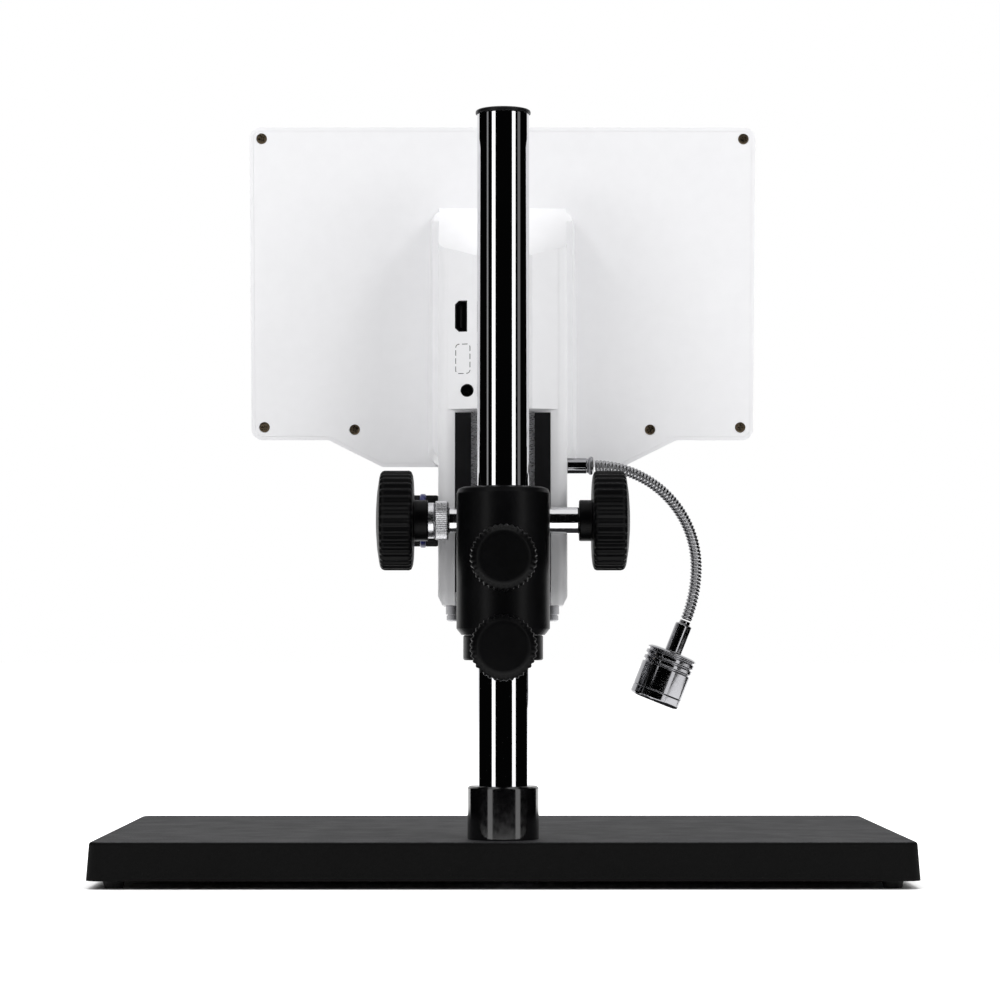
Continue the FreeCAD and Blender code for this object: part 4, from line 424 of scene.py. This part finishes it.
def shaft_pieces():
    shaft = (SHAFT_HIGH.z - SHAFT_LOW.z) / 2 / MM
    for node, side in (("left_bush", -1), ("right_bush", 1)):
        low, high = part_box(node)
        ends = sorted((abs(low.x) / MM, abs(high.x) / MM))
        outer = (high.z - low.z) / 2 / MM
        bore = shaft + 0.05
        if side < 0:
            profile = [(bore, ends[0]), (outer, ends[0]), (outer, ends[1] - 0.5), (outer - 0.5, ends[1]),
                       (bore, ends[1]), (bore, ends[0])]
        else:
            step = 26.3
            profile = [(bore, ends[0]), (outer, ends[0]), (outer, step - 0.4), (outer - 0.4, step),
                       (5.5, step), (5.5, ends[1]), (bore, ends[1]), (bore, ends[0])]
        bush = along_shaft(node, profile, side, segments=96, round_size=0.2)
        keep_edges(bush)
    low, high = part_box("tension_ring")
    a, b = low.x / MM, high.x / MM
    outer = (high.z - low.z) / 2 / MM
    ring = along_shaft("tension_ring", [
        (5.55, a), (outer - 0.9, a), (outer - 0.25, a + 0.35, 0.6), (outer, a + 0.8, 1.0),
        (outer, b - 0.8, 1.0), (outer - 0.25, b - 0.35, 0.6), (outer - 0.9, b), (5.55, b), (5.55, a),
    ], 1, segments=480, flutes=60, depth=0.32, round_size=0.2)
    keep_edges(ring, 60)
    low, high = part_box("shaft_collar")
    a, b = low.x / MM, high.x / MM
    outer = (high.z - low.z) / 2 / MM
    collar = along_shaft("shaft_collar", [
        (shaft + 0.05, a), (outer - 0.4, a), (outer, a + 0.4), (outer, b - 0.2), (outer - 0.2, b),
        (shaft + 0.05, b), (shaft + 0.05, a),
    ], 1, segments=96, round_size=0.2)
    keep_edges(collar)
    for node, side in (("focus_wheel_left", -1), ("focus_wheel_right", 1)):
        low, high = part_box(node)
        near, far = sorted((abs(low.x) / MM, abs(high.x) / MM))
        outer = (high.z - low.z) / 2 / MM
        rim = far - 2.0
        inner = 43.3
        wheel = along_shaft(node, [
            (shaft + 0.05, near), (9.6, near), (10.0, near + 0.4), (10.0, inner - 0.4), (10.6, inner),
            (outer - 5.0, inner), (outer - 2.4, inner + 0.35), (outer - 0.5, inner + 1.1, 0.8),
            (outer, inner + 2.2, 1.0), (outer, inner + 8.0, 1.0), (outer, rim - 2.2, 1.0),
            (outer - 0.4, rim - 1.0, 0.9), (outer - 1.6, rim - 0.1, 0.3), (outer - 3.0, rim + 0.25),
            (outer * 0.6, far - 0.72), (outer * 0.3, far - 0.16), (0, far),
        ], side, segments=432, flutes=36, depth=0.95, round_size=0.35)
        keep_edges(wheel, 50)


# Dial

def dial_pieces():
    low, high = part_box("dial_wheel")
    centre = Vector((0, (low.y + high.y) / 2, (low.z + high.z) / 2))
    outer = (high.z - low.z) / 2 / MM
    a, b = low.x / MM, high.x / MM
    band_low, band_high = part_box("dial_band")
    c, d = band_low.x / MM, band_high.x / MM
    band_outer = (band_high.z - band_low.z) / 2 / MM
    wheel = lathe("dial_wheel_finish", [
        (3.05, a), (outer - 0.9, a), (outer - 0.2, a + 0.4, 0.7), (outer, a + 1.0, 1.0),
        (outer, c - 0.1, 1.0), (outer - 1.0, c), (outer - 1.0, d), (outer, d + 0.1, 1.0),
        (outer, b - 1.5, 1.0), (outer - 0.4, b - 0.5, 0.8), (outer - 1.4, b), (0, b),
    ], centre, (1, 0, 0), "dial_wheel", segments=480, flutes=60, depth=0.4, round_size=0.2)
    keep_edges(wheel, 55)
    band = lathe("dial_band_finish", [
        (outer - 0.95, c), (band_outer - 0.5, c), (band_outer, c + 0.6), (band_outer, d - 0.6),
        (band_outer - 0.5, d), (outer - 0.95, d), (outer - 0.95, c),
    ], centre, (1, 0, 0), "dial_band", segments=128, round_size=0.25)
    keep_edges(band)


# Lens ring

def lens_piece():
    low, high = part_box("lens_ring")
    centre = Vector(((low.x + high.x) / 2, (low.y + high.y) / 2, low.z))
    outer = (high.x - low.x) / 2 / MM
    height = (high.z - low.z) / MM
    ring = lathe("lens_ring_finish", [
        (17.0, 0.8), (17.8, 0), (outer - 1.2, 0), (outer - 0.4, 0.6), (outer - 0.4, 2.9),
        (outer - 1.0, 2.9), (outer - 1.0, 3.4), (outer, 3.4), (outer, height), (23.05, height),
        (23.05, 2.9), (17.0, 2.9), (17.0, 0.8),
    ], centre, (0, 0, 1), "lens_ring", segments=160, round_size=0.15)
    keep_edges(ring)


# Lamp: connector, gooseneck and head

NECK_JOINTS = [Vector(JOINTS["neck_bend_%d" % (i + 1)]["pos_m"]) for i in range(5)]
NECK_RADIUS = 3.0
NECK_RIBS = 60
RINGS_PER_RIB = 8
NECK_SEGMENTS = 40


def circle_through(a, b, c):
    """Centre and radius of the circle through three points of the plane y = const."""
    ax, az, bx, bz, cx, cz = a.x, a.z, b.x, b.z, c.x, c.z
    twice = 2 * (ax * (bz - cz) + bx * (cz - az) + cx * (az - bz))
    a2, b2, c2 = ax * ax + az * az, bx * bx + bz * bz, cx * cx + cz * cz
    x = (a2 * (bz - cz) + b2 * (cz - az) + c2 * (az - bz)) / twice
    z = (a2 * (cx - bx) + b2 * (ax - cx) + c2 * (bx - ax)) / twice
    centre = Vector((x, a.y, z))
    return centre, (a - centre).length


def neck_path(samples):
    """Points and headings along the hose: a quarter bend, then a wider bend to the lamp."""
    last = NECK_JOINTS[4]
    centre, radius = circle_through(NECK_JOINTS[0], NECK_JOINTS[1], NECK_JOINTS[3])
    bottom = NECK_JOINTS[3]
    gap = last - bottom
    wide = (gap.x ** 2 + gap.z ** 2) / (2 * gap.x)
    wide_centre = Vector((bottom.x + wide, bottom.y, bottom.z))
    sweep = math.asin(min(1.0, -gap.z / wide))
    quarter = math.pi / 2 * radius
    length = quarter + sweep * wide
    path = []
    for i in range(samples + 1):
        run = length * i / samples
        if run <= quarter:
            angle = run / radius
            point = centre + Vector((-math.sin(angle), 0, math.cos(angle))) * radius
            heading = Vector((-math.cos(angle), 0, -math.sin(angle)))
        else:
            angle = (run - quarter) / wide
            point = wide_centre + Vector((-math.cos(angle), 0, -math.sin(angle))) * wide
            heading = Vector((math.sin(angle), 0, -math.cos(angle)))
        path.append((point, heading))
    return path


def hose_pieces():
    """Five stretches of ribbed hose along the gooseneck, one over each joint."""
    samples = NECK_RIBS * RINGS_PER_RIB
    path = neck_path(samples)
    marks = [0.0, *((i + 0.5) / 4 for i in range(4)), 1.0]
    for k in range(5):
        first = round(marks[k] * samples)
        last = round(marks[k + 1] * samples)
        verts = []
        rings = []
        for i in range(first, last + 1):
            point, heading = path[i]
            side = Vector((0, 1, 0))
            up = heading.cross(side)
            share = (i % RINGS_PER_RIB) / RINGS_PER_RIB
            swell = 0.5 - 0.5 * math.cos(2 * math.pi * share)
            radius = (NECK_RADIUS - 0.5 * (1 - swell ** 0.6)) * MM
            ring = []
            for j in range(NECK_SEGMENTS):
                angle = 2 * math.pi * j / NECK_SEGMENTS
                ring.append(len(verts))
                verts.append(point + (side * math.cos(angle) + up * math.sin(angle)) * radius)
            rings.append(ring)
        faces = []
        for a, b in zip(rings, rings[1:]):
            for j in range(NECK_SEGMENTS):
                n = (j + 1) % NECK_SEGMENTS
                faces.append((a[j], a[n], b[n], b[j]))
        faces.append(tuple(reversed(rings[0])))
        faces.append(tuple(rings[-1]))
        node = "neck_link_%d" % min(k + 1, 4)
        piece = new_piece("neck_hose_%d" % (k + 1), verts, faces, node, body=False)
        keep_edges(piece, 70)
        heading = path[round(k / 4 * samples)][1]
        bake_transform(piece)


def lamp_pieces():
    start = NECK_JOINTS[4]
    heading = neck_path(8)[-1][1]
    side = Vector((-0.03185, NECK_JOINTS[0].y, NECK_JOINTS[0].z))
    tip = (side.x - NECK_JOINTS[0].x) / MM - 0.9
    ferrule = lathe("lamp_ferrule_finish", [
        (0, 0), (4.0, 0), (4.0, tip - 3.6), (3.7, tip - 3.2), (3.7, tip - 2.7), (4.3, tip - 2.3),
        (4.75, tip - 1.6), (4.75, tip - 0.8), (4.3, tip - 0.15), (3.2, tip), (3.0, tip - 0.6),
        (0, tip - 0.6),
    ], side, (-1, 0, 0), "lamp_ferrule", segments=96, round_size=0.3)
    keep_edges(ferrule, 40)
    sleeve = lathe("lamp_sleeve_finish", [
        (0, 0.6), (2.7, 0.6), (2.8, 2.2), (3.5, 2.5), (4.0, 2.7), (4.25, 3.2), (4.25, 10.0), (4.25, 17.0),
        (0, 17.0),
    ], start, heading, "lamp_sleeve", segments=96, round_size=0.3)
    keep_edges(sleeve, 40)
    radius = 12.6
    first = 17.2
    profile = [(4.3, first), (9.6, first), (11.4, first + 0.35), (radius, first + 1.1)]
    for i in range(3):
        groove = first + 3.05 * (i + 0.5)
        profile += [(radius, groove + 0.15), (radius - 1.0, groove + 0.5), (radius - 1.0, groove + 1.05),
                    (radius, groove + 1.4)]
    end = first + 26.2 - 5.2
    profile += [(radius, end - 0.15), (radius - 0.25, end), (radius - 2.0, end), (radius - 2.0, first + 6.0),
                (4.3, first + 6.0), (4.3, first)]
    housing = lathe("lamp_housing_finish", profile, start, heading, "lamp_housing", segments=128,
                    round_size=0.18)
    keep_edges(housing, 40)
    last = end + 5.2
    bezel = lathe("lamp_bezel_finish", [
        (9.5, end - 3.0), (10.5, end - 3.0), (10.5, end), (radius - 0.4, end), (radius, end + 0.35),
        (radius, last - 1.4), (radius - 0.4, last - 0.45), (radius - 1.3, last), (9.9, last),
        (9.5, last - 0.8), (9.5, end - 3.0),
    ], start, heading, "lamp_bezel", segments=128, round_size=0.25)
    keep_edges(bezel, 40)


# Printed outline beside the sockets: dashes round a small rounded rectangle

OUTLINE_CENTRE = (19.6, 254.0)
OUTLINE_HALF = (3.5, 7.2)
OUTLINE_CORNER = 1.6
OUTLINE_LINE = 0.34
OUTLINE_LIFT = 0.00003
OUTLINE_DASHES = 10
OUTLINE_STEPS = 8
OUTLINE_SHARE = 0.68


def outline_point(run, lengths):
    """Point and outward direction at a distance round the rounded rectangle."""
    w, h, r = OUTLINE_HALF[0], OUTLINE_HALF[1], OUTLINE_CORNER
    straight_x, straight_z, bend = lengths
    corners = ((w - r, h - r, 0), (-w + r, h - r, 90), (-w + r, -h + r, 180), (w - r, -h + r, 270))
    for index, (cx, cz, turn) in enumerate(corners):
        if run < bend:
            angle = math.radians(turn + 90 * run / bend)
            out = Vector((math.cos(angle), math.sin(angle)))
            return Vector((cx, cz)) + out * r, out
        run -= bend
        side = straight_x if index % 2 == 0 else straight_z
        if run < side:
            angle = math.radians(turn + 90)
            out = Vector((math.cos(angle), math.sin(angle)))
            along = Vector((-out.y, out.x))
            return Vector((cx, cz)) + out * r + along * run, out
        run -= side
    return outline_point(0.0, lengths)


def outline_piece():
    w, h, r = OUTLINE_HALF[0], OUTLINE_HALF[1], OUTLINE_CORNER
    lengths = (2 * (w - r), 2 * (h - r), math.pi * r / 2)
    total = 2 * lengths[0] + 2 * lengths[1] + 4 * lengths[2]
    surface = BVHTree.FromPolygons(
        [vertex.co.copy() for vertex in NODES["rear_cover"].data.vertices],
        [tuple(face.vertices) for face in NODES["rear_cover"].data.polygons])
    verts = []
    faces = []
    steps = OUTLINE_STEPS
    for dash in range(OUTLINE_DASHES):
        first = len(verts)
        for step in range(steps + 1):
            run = (total * (dash + OUTLINE_SHARE * step / steps) / OUTLINE_DASHES) % total
            point, out = outline_point(run, lengths)
            for side in (-0.5, 0.5):
                spot = point + out * OUTLINE_LINE * side
                x = (OUTLINE_CENTRE[0] + spot.x) * MM
                z = (OUTLINE_CENTRE[1] + spot.y) * MM
                hit = surface.ray_cast(Vector((x, 0.2, z)), Vector((0, -1, 0)))[0]
                for lift in (0.0, OUTLINE_LIFT):
                    verts.append(hit + Vector((0, lift, 0)))
        for step in range(steps):
            a = first + step * 4
            b = a + 4
            faces += [(a + 1, a + 3, b + 3, b + 1), (a, b, b + 2, a + 2), (a, a + 1, b + 1, b),
                      (a + 2, b + 2, b + 3, a + 3)]
        last = first + steps * 4
        faces += [(first, first + 2, first + 3, first + 1), (last, last + 1, last + 3, last + 2)]
    mesh = bpy.data.meshes.new("printed_outline")
    mesh.from_pydata([tuple(v) for v in verts], [], faces)
    mesh.materials.append(MATERIALS["socket_black"])
    outline = bpy.data.objects.new("printed_outline", mesh)
    bpy.context.scene.collection.objects.link(outline)
    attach(outline, BODY_OF["rear_cover"])


# CAD pieces that stay: smooth shading and a finish

def finish_nodes():
    for name, node in NODES.items():
        node.data.materials.clear()
        node.data.materials.append(finish_of(name))
        for polygon in node.data.polygons:
            polygon.use_smooth = True
        node.data.set_sharp_from_angle(angle=math.radians(35))


# Floor, light and camera

FLOOR_WIDTH = 40.0
FLAG_DISTANCE = 0.37
STRIP_DISTANCE = 0.36
SCREEN_TOP = 0.8
EDGE_LOW = 0.115

def floor_sheet():
    half = FLOOR_WIDTH / 2
    mesh = bpy.data.meshes.new("floor")
    mesh.from_pydata([(-half, -half, 0), (half, -half, 0), (half, half, 0), (-half, half, 0)], [],
                     [(0, 1, 2, 3)])
    sheet = bpy.data.objects.new("floor", mesh)
    bpy.context.scene.collection.objects.link(sheet)
    mesh.materials.append(floor_material())


def seen_by_rays(tree):
    """1 for rays from the camera, mirrors and glass, 0 for light that falls on things."""
    path = tree.nodes.new("ShaderNodeLightPath")
    total = path.outputs["Is Camera Ray"]
    for name in ("Is Glossy Ray", "Is Transmission Ray"):
        add = tree.nodes.new("ShaderNodeMath")
        add.operation = "MAXIMUM"
        tree.links.new(total, add.inputs[0])
        tree.links.new(path.outputs[name], add.inputs[1])
        total = add.outputs[0]
    return total


def floor_material():
    material = bpy.data.materials.new("floor")
    material.use_nodes = True
    tree = material.node_tree
    tree.nodes.clear()
    output = tree.nodes.new("ShaderNodeOutputMaterial")
    diffuse = tree.nodes.new("ShaderNodeBsdfDiffuse")
    diffuse.inputs["Color"].default_value = (0.85, 0.85, 0.85, 1)
    glow = tree.nodes.new("ShaderNodeEmission")
    glow.inputs["Color"].default_value = (1, 1, 1, 1)
    # Painted shadow: ambient occlusion dims the floor's glow under and beside the stand, standing in for its
    # contact shadow.
    near = tree.nodes.new("ShaderNodeAmbientOcclusion")
    near.inputs["Distance"].default_value = 0.05
    painted_contact_shadow_factor = ramp_node(tree, near.outputs["AO"], ((0.35, (0, 0, 0)), (0.95, (1, 1, 1))))
    scale = tree.nodes.new("ShaderNodeMath")
    scale.operation = "MULTIPLY"
    tree.links.new(seen_by_rays(tree), scale.inputs[0])
    tree.links.new(painted_contact_shadow_factor, scale.inputs[1])
    tree.links.new(scale.outputs[0], glow.inputs["Strength"])
    add = tree.nodes.new("ShaderNodeAddShader")
    tree.links.new(diffuse.outputs[0], add.inputs[0])
    tree.links.new(glow.outputs[0], add.inputs[1])
    tree.links.new(add.outputs[0], output.inputs["Surface"])
    return material


def glow_material(name, strength):
    material = bpy.data.materials.new(name)
    material.use_nodes = True
    tree = material.node_tree
    tree.nodes.clear()
    output = tree.nodes.new("ShaderNodeOutputMaterial")
    glow = tree.nodes.new("ShaderNodeEmission")
    glow.inputs["Color"].default_value = (1, 1, 1, 1)
    glow.inputs["Strength"].default_value = strength
    tree.links.new(glow.outputs[0], output.inputs["Surface"])
    return material


def world_light():
    world = bpy.data.worlds.new("studio")
    bpy.context.scene.world = world
    world.use_nodes = True
    tree = world.node_tree
    tree.nodes.clear()
    output = tree.nodes.new("ShaderNodeOutputWorld")
    lit = tree.nodes.new("ShaderNodeBackground")
    lit.inputs["Color"].default_value = (1, 1, 1, 1)
    lit.inputs["Strength"].default_value = 0.28
    seen = tree.nodes.new("ShaderNodeBackground")
    seen.inputs["Color"].default_value = (1, 1, 1, 1)
    seen.inputs["Strength"].default_value = 1.0
    mix = tree.nodes.new("ShaderNodeMixShader")
    tree.links.new(seen_by_rays(tree), mix.inputs["Fac"])
    tree.links.new(lit.outputs[0], mix.inputs[1])
    tree.links.new(seen.outputs[0], mix.inputs[2])
    tree.links.new(mix.outputs[0], output.inputs["Surface"])


def area_light(name, place, target, size, power):
    data = bpy.data.lights.new(name, "AREA")
    data.shape = "RECTANGLE"
    data.size, data.size_y = size
    data.energy = power
    lamp = bpy.data.objects.new(name, data)
    bpy.context.scene.collection.objects.link(lamp)
    lamp.location = place
    lamp.rotation_mode = "QUATERNION"
    lamp.rotation_quaternion = (Vector(target) - Vector(place)).to_track_quat("-Z", "Y")
    lamp.visible_glossy = False


def screen(name, start, end, distance, low, strength):
    """A curved upright screen that only mirrors see, between two angles round the post."""
    steps = max(2, round(abs(end - start) / 4))
    verts = []
    for i in range(steps + 1):
        turn = math.radians(start + (end - start) * i / steps)
        x = POST_AXIS.x + math.sin(turn) * distance
        y = POST_AXIS.y + math.cos(turn) * distance
        verts += [(x, y, low), (x, y, SCREEN_TOP)]
    faces = [(2 * i, 2 * i + 2, 2 * i + 3, 2 * i + 1) for i in range(steps)]
    mesh = bpy.data.meshes.new(name)
    mesh.from_pydata(verts, [], faces)
    mesh.materials.append(glow_material(name, strength))
    sheet = bpy.data.objects.new(name, mesh)
    bpy.context.scene.collection.objects.link(sheet)
    for way in ("visible_camera", "visible_diffuse", "visible_transmission", "visible_shadow"):
        setattr(sheet, way, False)


def studio():
    floor_sheet()
    world_light()
    centre = Vector((0, 0, 0.2))
    area_light("key_left", (1.6, 2.2, 1.9), centre, (1.4, 1.4), 45)
    area_light("key_right", (-1.8, 1.8, 1.6), centre, (1.4, 1.4), 36)
    area_light("front_fill", (0.0, -2.0, 1.6), centre, (1.6, 1.6), 22)
    area_light("top_soft", (0.0, 0.3, 2.6), centre, (2.0, 2.0), 12)
    # Black flags and tall strip lights round the camera's side, which only mirrors see
    screen("flags", -130, 130, FLAG_DISTANCE, 0.0, 0.0015)
    screen("strip_left", 34, 50, STRIP_DISTANCE, 0.0, 1.6)
    screen("strip_right", -55, -39, STRIP_DISTANCE, 0.0, 1.6)
    screen("edge_left", 68, 76, STRIP_DISTANCE, EDGE_LOW, 0.30)
    screen("edge_right", -80, -66, STRIP_DISTANCE, EDGE_LOW, 0.18)


# The camera looks along -Y at the back, a little above the base
CAMERA_DISTANCE = 1.476
CAMERA_HEIGHT = 0.1124
CAMERA_X = 0.00695
SENSOR = 36.0
FOCAL_PIXELS = 3100.0
VANISHING_PIXEL = (488.6, 648.0)
FRAME_PIXELS = 1000.0


def camera():
    data = bpy.data.cameras.new("camera")
    data.sensor_width = SENSOR
    data.sensor_fit = "HORIZONTAL"
    data.lens = SENSOR * FOCAL_PIXELS / FRAME_PIXELS
    data.clip_start = 0.05
    data.clip_end = 60.0
    eye = bpy.data.objects.new("camera", data)
    bpy.context.scene.collection.objects.link(eye)
    eye.location = (CAMERA_X, POST_AXIS.y + CAMERA_DISTANCE, CAMERA_HEIGHT)
    right = (FRAME_PIXELS / 2 - VANISHING_PIXEL[0]) / FOCAL_PIXELS
    rise = (VANISHING_PIXEL[1] - FRAME_PIXELS / 2) / FOCAL_PIXELS
    aim = Vector((-right, -1.0, rise))
    eye.rotation_mode = "QUATERNION"
    eye.rotation_quaternion = aim.to_track_quat("-Z", "Y")
    bpy.context.scene.camera = eye


finish_nodes()
post_pieces()
collar_piece()
clamp_knob("collar_knob")
clamp_knob("arm_knob")
shaft_pieces()
dial_pieces()
lens_piece()
hose_pieces()
lamp_pieces()
outline_piece()
studio()
camera()

bpy.context.scene.view_settings.view_transform = "Standard"
